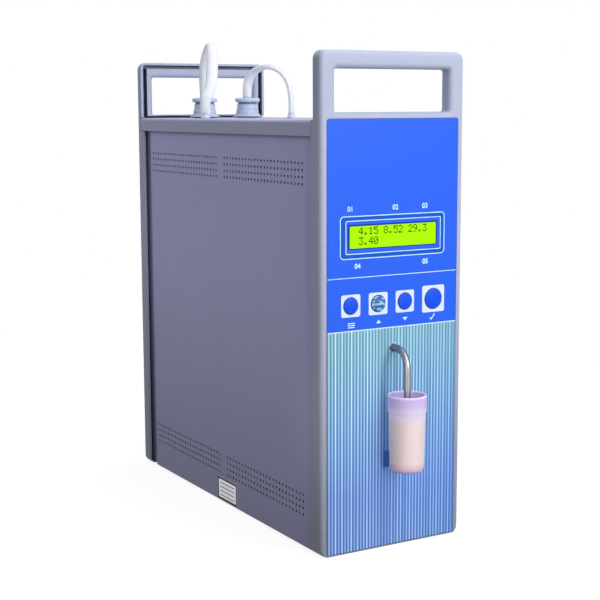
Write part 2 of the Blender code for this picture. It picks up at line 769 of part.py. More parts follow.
def side_panel(name, side, body, vented):
    """A side sheet: its front edge tucks into the front panel, and its rear edge steps inwards
    before the rear panel, which leaves the groove there."""
    front = INNER_FRONT - PANEL_TUCK
    bend = INNER_REAR - JOGGLE_SETBACK
    outline = [(front, SIDE_BOTTOM), (bend, SIDE_BOTTOM), (bend, SIDE_TOP), (front, SIDE_TOP)]
    holes = []
    if vented:
        holes = [round_outline(VENT_SIZE / 2, 4, *place) for place in vent_places()]
    bm = bmesh.new()
    bm.from_mesh(perforated_sheet(outline, holes))
    bmesh.ops.remove_doubles(bm, verts=bm.verts, dist=GAP / 10)
    # Curve (x, y, z) becomes body (y, z, x)
    bmesh.ops.transform(bm, matrix=Matrix(((0, 0, 1, 0), (1, 0, 0, 0), (0, 1, 0, 0), (0, 0, 0, 1))),
                        verts=bm.verts)
    bmesh.ops.translate(bm, verts=bm.verts, vec=(side * (SIDE_FACE - SHEET / 2), 0, 0))
    steps = (
        (-side * JOGGLE_DEPTH, JOGGLE_RUN),
        (0, JOGGLE_SETBACK - JOGGLE_RUN + PANEL_TUCK),
    )
    reach = bend
    for inwards, along in steps:
        end = [f for f in bm.faces if all(abs(v.co.y - reach) < GAP / 10 for v in f.verts)]
        moved = bmesh.ops.extrude_face_region(bm, geom=end)["geom"]
        points = [v for v in moved if isinstance(v, bmesh.types.BMVert)]
        bmesh.ops.translate(bm, verts=points, vec=(inwards, along, 0))
        bmesh.ops.delete(bm, geom=end, context="FACES")
        reach += along
    add(name, finished(bm), side_paint(), body, smooth=False)


def base_tray(body):
    """The floor, with a tab at each end that the end panels are fastened to."""
    front, rear = INNER_FRONT - PANEL_TUCK, INNER_REAR + PANEL_TUCK
    low = SIDE_BOTTOM
    section = [
        (front, low),
        (rear, low),
        (rear, BASE_TOP + TAB_HEIGHT),
        (rear - SHEET, BASE_TOP + TAB_HEIGHT),
        (rear - SHEET, BASE_TOP),
        (front + SHEET, BASE_TOP),
        (front + SHEET, BASE_TOP + TAB_HEIGHT),
        (front, BASE_TOP + TAB_HEIGHT),
    ]
    base = add("base_tray", prism(section, -BASE_HALF, BASE_HALF, "X"), cover_paint(), body)
    for x in (-SCREW_X, SCREW_X):
        outline = round_outline(SCREW_RADIUS + SCREW_CLEARANCE, 10, x, SCREW_LOW)
        cut(base, prism(outline, rear - SHEET - OVERRUN, rear + OVERRUN))


def graphic_overlay(front):
    """The printed foil, with its window and the holes for the buttons, the tube and the holder."""
    outline = rounded_outline(-FOIL_HALF, FOIL_HALF, FOIL_FOOT, FOIL_TOP, FOIL_CORNER)
    back = FOIL_FRONT + FOIL_THICKNESS
    foil = add("graphic_overlay", prism(outline, FOIL_FRONT, back), foil_print(), front)
    start, end = FOIL_FRONT - OVERRUN, back + OVERRUN
    wide, tall = WINDOW_WIDTH / 2, WINDOW_HEIGHT / 2
    cut(foil, box(-wide, wide, start, end, WINDOW_LEVEL - tall, WINDOW_LEVEL + tall))
    for x, radius in BUTTONS:
        cut(foil, prism(round_outline(radius + GAP, 16, x, BUTTON_LEVEL), start, end))
    cut(foil, prism(round_outline(INTAKE_RADIUS + GAP, 10, 0, INTAKE_LEVEL), start, end))
    peg = CUP_BOTTOM + HOLDER_HEIGHT / 2
    cut(foil, prism(round_outline(PEG_RADIUS + GAP, 8, 0, peg), start, end))


def display(front):
    """The clear lens behind the foil, and the module with its glass and board."""
    wide = WINDOW_WIDTH / 2 + LENS_MARGIN
    tall = WINDOW_HEIGHT / 2 + LENS_MARGIN
    lens = box(
        -wide, wide, LENS_DEPTH, LENS_DEPTH + LENS_THICKNESS, WINDOW_LEVEL - tall, WINDOW_LEVEL + tall
    )
    add("display_lens", lens, clear_plastic(), front)
    back = BEHIND_SKIN + BEZEL_DEPTH
    wide, tall = BEZEL_WIDTH / 2, BEZEL_HEIGHT / 2
    bezel = box(-wide, wide, BEHIND_SKIN, back, WINDOW_LEVEL - tall, WINDOW_LEVEL + tall)
    module = add("display_module", bezel, steel(), front)
    wide, tall = GLASS_WIDTH / 2 + GAP, GLASS_HEIGHT / 2 + GAP
    deep = BEHIND_SKIN + GLASS_THICKNESS + GAP
    start = BEHIND_SKIN - OVERRUN
    cut(module, box(-wide, wide, start, deep, WINDOW_LEVEL - tall, WINDOW_LEVEL + tall))
    wide, tall = HALF_WIDTH - DISPLAY_BOARD_INSET, BEZEL_HEIGHT / 2 + DISPLAY_BOARD_EDGE
    start = back - BOARD_THICKNESS / 2
    end = back + BOARD_THICKNESS
    join(module, box(-wide, wide, start, end, WINDOW_LEVEL - tall, WINDOW_LEVEL + tall))
    wide, tall = GLASS_WIDTH / 2, GLASS_HEIGHT / 2
    end = BEHIND_SKIN + GLASS_THICKNESS
    glass = box(-wide, wide, BEHIND_SKIN, end, WINDOW_LEVEL - tall, WINDOW_LEVEL + tall)
    add("display_glass", glass, display_green(), front)


def button_profile(radius):
    """(radius, height) pairs of a cap: stem, retaining flange, barrel and low dome."""
    back = -(BEHIND_SKIN + BUTTON_FLANGE_THICKNESS)
    stem = back - BUTTON_STEM_LENGTH
    edge = FOIL_PROUD + BUTTON_EDGE_RISE
    crown = BUTTON_RISE - BUTTON_EDGE_RISE
    dome_shares = ((0.92, 0.45), (0.7, 0.78), (0.38, 0.95))
    return [
        (0, stem),
        (BUTTON_STEM_RADIUS, stem),
        (BUTTON_STEM_RADIUS, back),
        (radius + BUTTON_FLANGE, back),
        (radius + BUTTON_FLANGE, -BEHIND_SKIN),
        (radius, -BEHIND_SKIN),
        (radius, edge),
        *[(radius * across, edge + crown * up) for across, up in dome_shares],
        (0, edge + crown),
    ]


def buttons(front):
    for number, (x, radius) in enumerate(BUTTONS, 1):
        cap = turned(button_profile(radius), 16)
        place = (x, 0, BUTTON_LEVEL)
        add(f"button_{number}", cap, button_blue(), front, place, (math.pi / 2, 0, 0))


def keypad_board(front):
    """The board on the bosses, with one tact switch behind each button."""
    wide, tall = BOSS_X + KEYPAD_EDGE, KEYPAD_HEIGHT / 2
    end = KEYPAD_DEPTH + BOARD_THICKNESS
    low, high = BUTTON_LEVEL - tall, BUTTON_LEVEL + tall
    board = add("keypad_board", box(-wide, wide, KEYPAD_DEPTH, end, low, high), board_green(), front)
    half = SWITCH_SIZE / 2
    middle = KEYPAD_DEPTH + BOARD_THICKNESS / 2
    for x, _ in BUTTONS:
        start = PLUNGER_DEPTH + PLUNGER_LENGTH
        join(board, box(x - half, x + half, start, middle, BUTTON_LEVEL - half, BUTTON_LEVEL + half))
        outline = round_outline(PLUNGER_RADIUS, 8, x, BUTTON_LEVEL)
        join(board, prism(outline, PLUNGER_DEPTH, start + SWITCH_DEPTH / 2))


def intake(front):
    """The steel tube with its bend, and the bush that holds it behind the panel."""
    path = [(0, INTAKE_INSIDE, INTAKE_LEVEL), (0, -INTAKE_RUN, INTAKE_LEVEL)]
    steps = 6
    for k in range(1, steps + 1):
        turn = math.pi / 2 * k / steps
        forward = INTAKE_RUN + INTAKE_BEND * math.sin(turn)
        drop = INTAKE_BEND - INTAKE_BEND * math.cos(turn)
        path.append((0, -forward, INTAKE_LEVEL - drop))
    path.append((0, -CUP_STANDOFF, INTAKE_TIP))
    inner = INTAKE_RADIUS - INTAKE_WALL
    add("intake_tube", pipe(path, INTAKE_RADIUS, inner, 10), steel(), front)
    bore = INTAKE_RADIUS + BUSH_CLEARANCE
    profile = [
        (bore, 0),
        (BUSH_RADIUS, 0),
        (BUSH_RADIUS, BUSH_LENGTH / 2),
        (BUSH_RADIUS - SLEEVE_WALL, BUSH_LENGTH),
        (bore, BUSH_LENGTH),
    ]
    place = (0, BEHIND_SKIN, INTAKE_LEVEL)
    bush = turned(profile, 10, closed=True)
    add("intake_bush", bush, dark_plastic(), front, place, (-math.pi / 2, 0, 0))


def rib_outline(back, spread):
    """The cup's dovetail rib, as (x, y) pairs: narrow at the cup and wide at its end."""
    root, end = RIB_ROOT / 2 + spread, RIB_END / 2 + spread
    near = CUP_BODY_RADIUS - CUP_WALL
    return [(-end, back), (-root, near), (root, near), (end, back)]


def sample_cup(front):
    """The cup, open at the top with a wider collar, and the rib that slides in the holder."""
    step = CUP_HEIGHT - CUP_COLLAR_HEIGHT
    inner_base = CUP_BASE_RADIUS - CUP_WALL
    inner_body = CUP_BODY_RADIUS - CUP_WALL
    profile = [
        (0, 0),
        (CUP_BASE_RADIUS - CUP_CORNER, 0),
        (CUP_BASE_RADIUS - CUP_CORNER / 4, CUP_CORNER / 3),
        (CUP_BASE_RADIUS, CUP_CORNER),
        (CUP_BODY_RADIUS, step - CUP_WALL),
        (CUP_COLLAR_RADIUS, step),
        (CUP_COLLAR_RADIUS, CUP_HEIGHT),
        (CUP_COLLAR_RADIUS - CUP_WALL, CUP_HEIGHT),
        (CUP_COLLAR_RADIUS - CUP_WALL, step + CUP_WALL / 2),
        (inner_body, step - CUP_WALL / 2),
        (inner_base, CUP_CORNER + CUP_WALL),
        (inner_base - CUP_CORNER / 2, CUP_WALL),
        (0, CUP_WALL),
    ]
    place = (0, -CUP_STANDOFF, CUP_BOTTOM)
    cup = add("sample_cup", turned(profile, 20), cup_plastic(), front, place)
    back = CUP_STANDOFF + FOIL_FRONT - GAP - HOLDER_BACK - GAP
    join(cup, prism(rib_outline(back, 0), RIB_START, RIB_START + RIB_HEIGHT, "Z"))


def cup_holder(front):
    """The block on the panel whose dovetail groove takes the cup's rib, with its fixing peg."""
    back = FOIL_FRONT - GAP
    face = -(CUP_STANDOFF - CUP_BODY_RADIUS - GAP)
    half = HOLDER_WIDTH / 2
    high = CUP_BOTTOM + HOLDER_HEIGHT
    holder = add(
        "cup_holder", box(-half, half, face, back, CUP_BOTTOM, high), dark_plastic(), front
    )
    floor = CUP_STANDOFF + back - HOLDER_BACK
    groove = [(x, y - CUP_STANDOFF) for x, y in rib_outline(floor, GAP)]
    cut(holder, prism(groove, CUP_BOTTOM - OVERRUN, high + OVERRUN, "Z"))
    outline = round_outline(PEG_RADIUS, 8, 0, CUP_BOTTOM + HOLDER_HEIGHT / 2)
    join(holder, prism(outline, back - HOLDER_BACK / 2, PEG_LENGTH))


def reservoir(name, x, body):
    """A rinse bottle with its shoulder and open neck under the cover."""
    top = COVER_TOP - SHEET - GAP - RESERVOIR_BOTTOM
    neck = top - NECK_HEIGHT
    shoulder = neck - RESERVOIR_SHOULDER
    bulge_shares = (0.85, 0.6)
    bend = (
        NECK_RADIUS + (RESERVOIR_RADIUS - NECK_RADIUS) * bulge_shares[0],
        shoulder + RESERVOIR_SHOULDER * bulge_shares[1],
    )
    wall = RESERVOIR_WALL
    profile = [
        (0, 0),
        (RESERVOIR_RADIUS - wall, 0),
        (RESERVOIR_RADIUS, wall),
        (RESERVOIR_RADIUS, shoulder),
        bend,
        (NECK_RADIUS, neck),
        (NECK_RADIUS, top),
        (NECK_RADIUS - wall, top),
        (NECK_RADIUS - wall, neck),
        (bend[0] - wall, bend[1] - wall),
        (RESERVOIR_RADIUS - wall, shoulder),
        (RESERVOIR_RADIUS - wall, wall),
        (0, wall),
    ]
    place = (x, RESERVOIR_Y, RESERVOIR_BOTTOM)
    add(name, turned(profile, 12), bottle_plastic(), body, place)


def stopper(name, x, body):
    """A rubber stopper: tapered plug in the neck, flared base on the cover, groove and top flange."""
    flare_shares = ((0.78, 0.1), (0.3, 0.42), (0.06, 0.8))
    spread = STOPPER_BASE_RADIUS - STOPPER_NECK_RADIUS
    plug = STOPPER_NECK_RADIUS - PLUG_TAPER
    rim = STOPPER_HEIGHT - STOPPER_FLANGE_THICKNESS
    profile = [
        (0, -PLUG_LENGTH),
        (plug, -PLUG_LENGTH),
        (STOPPER_NECK_RADIUS, 0),
        (STOPPER_BASE_RADIUS, 0),
        (STOPPER_BASE_RADIUS, STOPPER_RIM),
        *[
            (STOPPER_NECK_RADIUS + spread * out, STOPPER_RIM + STOPPER_FLARE * up)
            for out, up in flare_shares
        ],
        (STOPPER_NECK_RADIUS, rim - STOPPER_ROUND),
        (STOPPER_FLANGE_RADIUS, rim + STOPPER_ROUND),
        (STOPPER_FLANGE_RADIUS, STOPPER_HEIGHT - STOPPER_ROUND),
        (STOPPER_FLANGE_RADIUS - STOPPER_ROUND, STOPPER_HEIGHT),
        (0, STOPPER_HEIGHT),
    ]
    place = (x, RESERVOIR_Y, COVER_TOP + GAP)
    add(name, turned(profile, 16), stopper_rubber(), body, place)


def port_places():
    """Where the two hoses come down to the cover, as (x, y)."""
    return [(PORT_LEFT_X, PORT_LEFT_Y), (PORT_RIGHT_X, PORT_RIGHT_Y)]


def hose_port(name, x, y, body):
    """A push-in fitting through the cover: collar above, snap-in lock and nipple below."""
    under = -(SHEET + GAP + GAP)
    profile = [
        (0, -PORT_NIPPLE_LENGTH),
        (THIN_HOSE_RADIUS, -PORT_NIPPLE_LENGTH),
        (THIN_HOSE_RADIUS, under - PORT_LOCK),
        (PORT_COLLAR_RADIUS - PORT_LOCK / 2, under - PORT_LOCK),
        (PORT_COLLAR_RADIUS, under),
        (PORT_STEM_RADIUS, under),
        (PORT_STEM_RADIUS, 0),
        (PORT_COLLAR_RADIUS, 0),
        (HOSE_DIAMETER / 2, PORT_COLLAR_HEIGHT),
        (0, PORT_COLLAR_HEIGHT),
    ]
    add(name, turned(profile, 12), panel_plastic(), body, (x, y, PORT_SEAT))


def route(start, shares, end, base=None, rise=None):
    """Points from start to end, given as shares of the way between them. With a base and a rise,
    heights are shares of that rise above the base."""
    origin = Vector((start[0], start[1], start[2] if base is None else base))
    span = Vector(end) - Vector(start)
    if rise is not None:
        span.z = rise
    middle = [origin + Vector(a * b for a, b in zip(span, point)) for point in shares]
    return [Vector(start), *middle, Vector(end)]


def smooth_route(places, step):
    """Points about a step apart on a smooth curve through the places."""
    padded = [places[0] * 2 - places[1], *places, places[-1] * 2 - places[-2]]
    fine = []
    parts = 12
    for a, b, c, d in zip(padded, padded[1:], padded[2:], padded[3:]):
        for k in range(parts):
            t = k / parts
            straight = b * 2 + (c - a) * t
            bent = (a * 2 - b * 5 + c * 4 - d) * t**2 + (b * 3 - a - c * 3 + d) * t**3
            fine.append((straight + bent) / 2)
    fine.append(places[-1])
    length = sum((q - p).length for p, q in zip(fine, fine[1:]))
    spaces = max(1, round(length / step))
    kept, walked = [fine[0]], 0
    for p, q in zip(fine, fine[1:]):
        walked += (q - p).length
        if walked >= length * len(kept) / spaces and len(kept) < spaces:
            kept.append(q)
    return [*kept, fine[-1]]


def hose(name, points, radius, resolution, body):
    """A round hose as a bevelled curve with closed ends."""
    curve = bpy.data.curves.new(name, "CURVE")
    curve.dimensions = "3D"
    curve.bevel_depth = radius
    curve.bevel_resolution = resolution
    curve.use_fill_caps = True
    curve.materials.append(silicone())
    spline = curve.splines.new("POLY")
    spline.points.add(len(points) - 1)
    for point, place in zip(spline.points, points):
        point.co = (*place, 1)
    spline.use_smooth = True
    obj = bpy.data.objects.new(name, curve)
    bpy.context.scene.collection.objects.link(obj)
    obj.parent = body


def top_hoses(body):
    """The two hoses over the cover, each from a stopper to its port."""
    step = HOSE_DIAMETER * HOSE_STEP_SHARE
    start = COVER_TOP + GAP + STOPPER_HEIGHT + GAP + GAP
    end = PORT_SEAT + PORT_COLLAR_HEIGHT + GAP + GAP
    left, right = port_places()
    runs = (
        ("hose_left", -RESERVOIR_X, LEFT_ARCH_SHARES, left, HOSE_ARCH_LEFT),
        ("hose_right", RESERVOIR_X, RIGHT_ARCH_SHARES, right, HOSE_ARCH_RIGHT),
    )
    for name, x, shares, port, rise in runs:
        places = route((x, RESERVOIR_Y, start), shares, (*port, end), COVER_TOP, rise)
        hose(name, smooth_route(places, step), HOSE_DIAMETER / 2, 2, body)


def mounting_plate(body):
    """The bent plate that carries the cell, the pump and the main board."""
    front = FRONT + PLATE_FRONT
    back = front + PLATE_LENGTH
    section = [
        (PLATE_X, PLATE_FLOOR),
        (PLATE_X + PLATE_FOOT, PLATE_FLOOR),
        (PLATE_X + PLATE_FOOT, PLATE_FLOOR + SHEET),
        (PLATE_X + SHEET, PLATE_FLOOR + SHEET),
        (PLATE_X + SHEET, PLATE_TOP),
        (PLATE_X, PLATE_TOP),
    ]
    plate = add("mounting_plate", prism(section, front, back), cell_metal(), body)
    outline = round_outline(SHAFT_HOLE, 12, PUMP_Y, PUMP_LEVEL)
    cut(plate, prism(outline, PLATE_X - OVERRUN, PLATE_X + SHEET + OVERRUN, "X"))


def measuring_cell(body):
    """The metal measuring block with its transducer cap and the nipples for the milk's way."""
    right = PLATE_X - GAP
    front = FRONT + INTAKE_INSIDE + GAP + NIPPLE_LENGTH
    back = front + CELL_LENGTH
    low, high = INTAKE_LEVEL - CELL_HEIGHT / 2, INTAKE_LEVEL + CELL_HEIGHT / 2
    block = box(right - CELL_WIDTH, right, front, back, low, high)
    cell = add("measuring_cell", block, cell_metal(), body)
    middle = (front + back) / 2
    outline = round_outline(TRANSDUCER_RADIUS, 14, middle, INTAKE_LEVEL)
    left = right - CELL_WIDTH
    join(cell, prism(outline, left - TRANSDUCER_LENGTH, left + CELL_INSET, "X"))
    nipple = round_outline(INTAKE_RADIUS, 10, 0, INTAKE_LEVEL)
    join(cell, prism(nipple, front - NIPPLE_LENGTH, front + CELL_INSET))


def intake_sleeve(body):
    """The short silicone sleeve that joins the steel tube to the cell's nipple."""
    bore = INTAKE_RADIUS + BUSH_CLEARANCE
    half = SLEEVE_LENGTH / 2
    profile = [(bore, -half), (bore + SLEEVE_WALL, -half), (bore + SLEEVE_WALL, half), (bore, half)]
    place = (0, FRONT + INTAKE_INSIDE, INTAKE_LEVEL)
    sleeve = turned(profile, 10, closed=True)
    add("intake_sleeve", sleeve, silicone(), body, place, (math.pi / 2, 0, 0))


def pump_housing(body):
    """The pump's housing: a block with a U-shaped track, open towards the left and the top."""
    half = PUMP_SIZE / 2
    outline = rounded_outline(
        PUMP_Y - half, PUMP_Y + half, PUMP_LEVEL - half, PUMP_LEVEL + half, PUMP_CORNER, 2
    )
    front = PUMP_X - PUMP_POCKET
    housing = add(
        "pump_housing", prism(outline, front, PLATE_X - GAP, "X"), dark_plastic(), body
    )
    steps = 14
    turns = [math.pi + math.pi * k / steps for k in range(steps + 1)]
    track = [
        (PUMP_Y + TRACK_RADIUS * math.cos(t), PUMP_LEVEL + TRACK_RADIUS * math.sin(t))
        for t in turns
    ]
    top = PUMP_LEVEL + half + OVERRUN
    track += [(PUMP_Y + TRACK_RADIUS, top), (PUMP_Y - TRACK_RADIUS, top)]
    cut(housing, prism(track, front - OVERRUN, PUMP_X, "X"))
    outline = round_outline(SHAFT_HOLE, 12, PUMP_Y, PUMP_LEVEL)
    cut(housing, prism(outline, PUMP_X - OVERRUN, PLATE_X + OVERRUN, "X"))


def roller_angles():
    return [2 * math.pi * k / ROLLER_COUNT + math.pi / 2 for k in range(ROLLER_COUNT)]


def pump_rotor(body):
    """The spool on the motor's shaft, with the three pins that its rollers turn on, and its rollers.
    Local Z runs along the shaft towards the motor."""
    bore = SHAFT_RADIUS + SHAFT_CLEARANCE
    gap = ROLLER_LENGTH / 2 + GAP
    end = gap + ROTOR_DISC
    profile = [
        (bore, -end),
        (ROTOR_RADIUS, -end),
        (ROTOR_RADIUS, -gap),
        (ROTOR_HUB, -gap),
        (ROTOR_HUB, gap),
        (ROTOR_RADIUS, gap),
        (ROTOR_RADIUS, end),
        (bore, end),
    ]
    place = (PUMP_X - GAP - end, PUMP_Y, PUMP_LEVEL)
    turn = (0, math.pi / 2, 0)
    rotor = add("pump_rotor", turned(profile, 16, closed=True), bottle_plastic(), body, place, turn)
    for number, angle in enumerate(roller_angles(), 1):
        across, up = ROLLER_ORBIT * math.cos(angle), ROLLER_ORBIT * math.sin(angle)
        pin = round_outline(PIN_RADIUS, 6, across, up)
        join(rotor, prism(pin, -gap - ROTOR_DISC / 2, gap + ROTOR_DISC / 2, "Z"))
        half = ROLLER_LENGTH / 2
        ring = [
            (ROLLER_BORE, -half),
            (ROLLER_RADIUS, -half),
            (ROLLER_RADIUS, half),
            (ROLLER_BORE, half),
        ]
        centre = (place[0], PUMP_Y + up, PUMP_LEVEL - across)
        roller = turned(ring, 10, closed=True)
        add(f"pump_roller_{number}", roller, steel(), body, centre, turn)


def pump_motor(body):
    """The gear motor on the far side of the plate, and its shaft."""
    bore = SHAFT_RADIUS + SHAFT_CLEARANCE
    body_radius = MOTOR_RADIUS - MOTOR_STEP
    profile = [
        (0, MOTOR_LENGTH),
        (body_radius - MOTOR_STEP, MOTOR_LENGTH),
        (body_radius, MOTOR_LENGTH - MOTOR_STEP),
        (body_radius, MOTOR_GEARBOX),
        (MOTOR_RADIUS, MOTOR_GEARBOX),
        (MOTOR_RADIUS, 0),
        (bore, 0),
        (bore, MOTOR_BORE),
        (0, MOTOR_BORE),
    ]
    turn = (0, math.pi / 2, 0)
    place = (MOTOR_X, PUMP_Y, PUMP_LEVEL)
    add("pump_motor", turned(profile, 16), steel(), body, place, turn)
    reach = MOTOR_X - (PUMP_X - GAP) + ROLLER_LENGTH + SHAFT_END / 2
    shaft = [
        (0, -reach),
        (SHAFT_RADIUS, -reach),
        (SHAFT_RADIUS, MOTOR_BORE - GAP),
        (0, MOTOR_BORE - GAP),
    ]
    add("motor_shaft", turned(shaft, 8), steel(), body, place, turn)


def inner_hoses(body):
    """The pump's thin hose from the cell, round the track and up to the right-hand port, and the
    rinse hose from the left-hand port to the cell."""
    step = THIN_HOSE_RADIUS * THIN_HOSE_STEP_SHARE
    middle = PUMP_X - GAP - ROTOR_DISC - GAP - ROLLER_LENGTH / 2
    steps = 12
    turns = [math.pi + math.pi * k / steps for k in range(steps + 1)]
    loop = [
        Vector((middle, PUMP_Y + HOSE_LOOP * math.cos(t), PUMP_LEVEL + HOSE_LOOP * math.sin(t)))
        for t in turns
    ]
    port_end = PORT_SEAT - PORT_NIPPLE_LENGTH - GAP - GAP
    left, right = port_places()
    cell_back = FRONT + INTAKE_INSIDE + NIPPLE_LENGTH + CELL_LENGTH + GAP * 3
    down = smooth_route(route(loop[0], CELL_HOSE_SHARES, (middle, cell_back, INTAKE_LEVEL)), step)
    up = smooth_route(route(loop[-1], RISER_SHARES, (*right, port_end)), step)
    hose("pump_hose", [*down[:0:-1], *loop, *up[1:]], THIN_HOSE_RADIUS, 1, body)
    cell_top = (RINSE_INLET_X, RINSE_INLET_Y, INTAKE_LEVEL + CELL_HEIGHT / 2 + GAP + GAP)
    rinse = route((*left, port_end), RINSE_SHARES, cell_top)
    hose("rinse_hose", smooth_route(rinse, step), THIN_HOSE_RADIUS, 1, body)


def main_board(body):
    """The main board on four standoffs, with its larger parts."""
    start = MOTOR_X + STANDOFF_LENGTH
    front = FRONT + PLATE_FRONT + STANDOFF_INSET
    back = front + MAIN_BOARD_LENGTH
    low = MAIN_BOARD_TOP - MAIN_BOARD_HEIGHT
    outline = square_outline(front, back, low, MAIN_BOARD_TOP)
    end = start + BOARD_THICKNESS
    board = add("main_board", prism(outline, start, end, "X"), board_green(), body)
    inset = STANDOFF_INSET
    for y in (front + inset, back - inset):
        for z in (low + inset, MAIN_BOARD_TOP - inset):
            post = round_outline(STANDOFF_RADIUS, 6, y, z)
            join(board, prism(post, MOTOR_X, start + BOARD_THICKNESS / 2, "X"))
    chip_shares = ((0.2, 0.4, 0.3, 0.7, 4), (0.5, 0.62, 0.55, 0.9, 10), (0.7, 0.9, 0.12, 0.4, 8))
    for y0, y1, z0, z1, rise in chip_shares:
        left, right = front + MAIN_BOARD_LENGTH * y0, front + MAIN_BOARD_LENGTH * y1
        down, up = low + MAIN_BOARD_HEIGHT * z0, low + MAIN_BOARD_HEIGHT * z1
        chip = square_outline(left, right, down, up)
        join(board, prism(chip, start + BOARD_THICKNESS / 2, end + BOARD_THICKNESS * rise / 2, "X"))


def reservoir_stand(body):
    """The bent bridge over the power supply that both reservoirs stand on."""
    top = RESERVOIR_BOTTOM - GAP
    half = STAND_WIDTH / 2
    section = [
        (half, PLATE_FLOOR),
        (half, top),
        (-half, top),
        (-half, PLATE_FLOOR),
        (SHEET - half, PLATE_FLOOR),
        (SHEET - half, top - SHEET),
        (half - SHEET, top - SHEET),
        (half - SHEET, PLATE_FLOOR),
    ]
    reach = STAND_LENGTH / 2
    bridge_mesh = prism(section, RESERVOIR_Y - reach, RESERVOIR_Y + reach)
    add("reservoir_stand", bridge_mesh, cell_metal(), body)


def power_supply(body):
    """The power supply block on the base, with its cooling fins."""
    half = SUPPLY_WIDTH / 2
    front = RESERVOIR_Y - SUPPLY_LENGTH / 2
    back = front + SUPPLY_LENGTH
    high = PLATE_FLOOR + SUPPLY_HEIGHT
    pitch = (SUPPLY_WIDTH - SUPPLY_FIN) / (SUPPLY_FINS - 1)
    section = [(half, PLATE_FLOOR), (half, high)]
    for k in range(SUPPLY_FINS):
        right = half - pitch * k
        if k:
            section.append((right, high - SUPPLY_FIN_HEIGHT))
            section.append((right, high))
        section.append((right - SUPPLY_FIN, high))
        if k < SUPPLY_FINS - 1:
            section.append((right - SUPPLY_FIN, high - SUPPLY_FIN_HEIGHT))
    section.append((-half, PLATE_FLOOR))
    add("power_supply", prism(section, front, back), cell_metal(), body)


def power_inlet(rear):
    """The three-pin mains inlet, a flanged socket with chamfered lower corners."""
    wide, tall = INLET_WIDTH / 2, INLET_HEIGHT / 2
    outline = square_outline(INLET_X - wide, INLET_X + wide, INLET_LEVEL - tall, INLET_LEVEL + tall)
    inlet = add("power_inlet", prism(outline, -GAP * 2, INLET_DEPTH), dark_plastic(), rear)
    edge = INLET_FLANGE
    flange = rounded_outline(
        INLET_X - wide - edge,
        INLET_X + wide + edge,
        INLET_LEVEL - tall - edge,
        INLET_LEVEL + tall + edge,
        edge,
        2,
    )
    join(inlet, prism(flange, -GAP - INLET_FLANGE_THICKNESS, -GAP))
    wide, tall = wide - INLET_CAVITY_MARGIN, tall - INLET_CAVITY_MARGIN
    cavity = [
        (INLET_X + wide, INLET_LEVEL - tall + INLET_CHAMFER),
        (INLET_X + wide, INLET_LEVEL + tall),
        (INLET_X - wide, INLET_LEVEL + tall),
        (INLET_X - wide, INLET_LEVEL - tall + INLET_CHAMFER),
        (INLET_X - wide + INLET_CHAMFER, INLET_LEVEL - tall),
        (INLET_X + wide - INLET_CHAMFER, INLET_LEVEL - tall),
    ]
    floor = INLET_DEPTH - INLET_CAVITY_MARGIN
    cut(inlet, prism(cavity, -OVERRUN, floor))
    for k, rise in ((-1, 0), (0, INLET_PIN_HEIGHT / 2), (1, 0)):
        x = INLET_X + INLET_PIN_PITCH * k
        half, up = INLET_PIN_WIDTH / 2, INLET_PIN_HEIGHT / 2
        middle = INLET_LEVEL + rise
        pin = box(x - half, x + half, 0, floor + INLET_CAVITY_MARGIN / 2, middle - up, middle + up)
        join(inlet, pin)


def power_switch(rear):
    """The switch's frame and its rocker, which rests tipped to off and turns about its pivot."""
    wide, tall = SWITCH_WIDTH / 2, SWITCH_HEIGHT / 2
    centre = (SWITCH_X, PIVOT_DEPTH, INLET_LEVEL)
    edge = SWITCH_FRAME
    body_mesh = box(-wide, wide, -PIVOT_DEPTH - GAP * 2, SWITCH_BODY_DEPTH, -tall, tall)
    frame = add("switch_frame", body_mesh, dark_plastic(), rear, centre)
    face = -PIVOT_DEPTH - GAP
    flange = box(-wide - edge, wide + edge, face - edge / 2, face, -tall - edge, tall + edge)
    join(frame, flange)
    wide, tall = wide - edge / 2, tall - edge / 2
    cut(frame, box(-wide, wide, face - OVERRUN, SWITCH_BODY_DEPTH - edge, -tall, tall))
    half, reach = wide - GAP, tall - ROCKER_CLEARANCE
    front = face - edge / 2 - GAP
    tip = reach * math.sin(ROCKER_ANGLE)
    section = [
        (front - tip, reach),
        (front, 0),
        (front - tip, -reach),
        (ROCKER_DEPTH / 2 - PIVOT_DEPTH / 2, -reach),
        (ROCKER_DEPTH, -ROCKER_DEPTH / 2),
        (ROCKER_DEPTH, ROCKER_DEPTH / 2),
        (ROCKER_DEPTH / 2 - PIVOT_DEPTH / 2, reach),
    ]
    rocker = prism(section, -half, half, "X")
    add("switch_rocker", rocker, dark_plastic(), rear, centre, (-ROCKER_ANGLE, 0, 0))


def serial_outline(spread):
    """The slanted shell of the serial connector, as (x, z) pairs."""
    wide = SERIAL_SHELL_WIDTH / 2 + spread
    tall = SERIAL_SHELL_HEIGHT / 2 + spread
    slant = SERIAL_SHELL_SLANT
    return [
        (wide - slant, SERIAL_LEVEL - tall),
        (wide, SERIAL_LEVEL + tall),
        (-wide, SERIAL_LEVEL + tall),
        (slant - wide, SERIAL_LEVEL - tall),
    ]


def serial_connector(rear):
    """The nine-pin serial connector: flange on the panel, shell outside and body inside."""
    shell = prism(serial_outline(0), -SERIAL_REACH, SERIAL_DEPTH)
    connector = add("serial_connector", shell, steel(), rear)
    wide, tall = SERIAL_FLANGE_WIDTH / 2, SERIAL_FLANGE_HEIGHT / 2
    flange = rounded_outline(
        -wide, wide, SERIAL_LEVEL - tall, SERIAL_LEVEL + tall, SERIAL_FLANGE_THICKNESS, 1
    )
    join(connector, prism(flange, -GAP - SERIAL_FLANGE_THICKNESS, -GAP))
    hollow = prism(serial_outline(-SERIAL_WALL), -SERIAL_REACH - OVERRUN, -GAP)
    cut(connector, hollow)


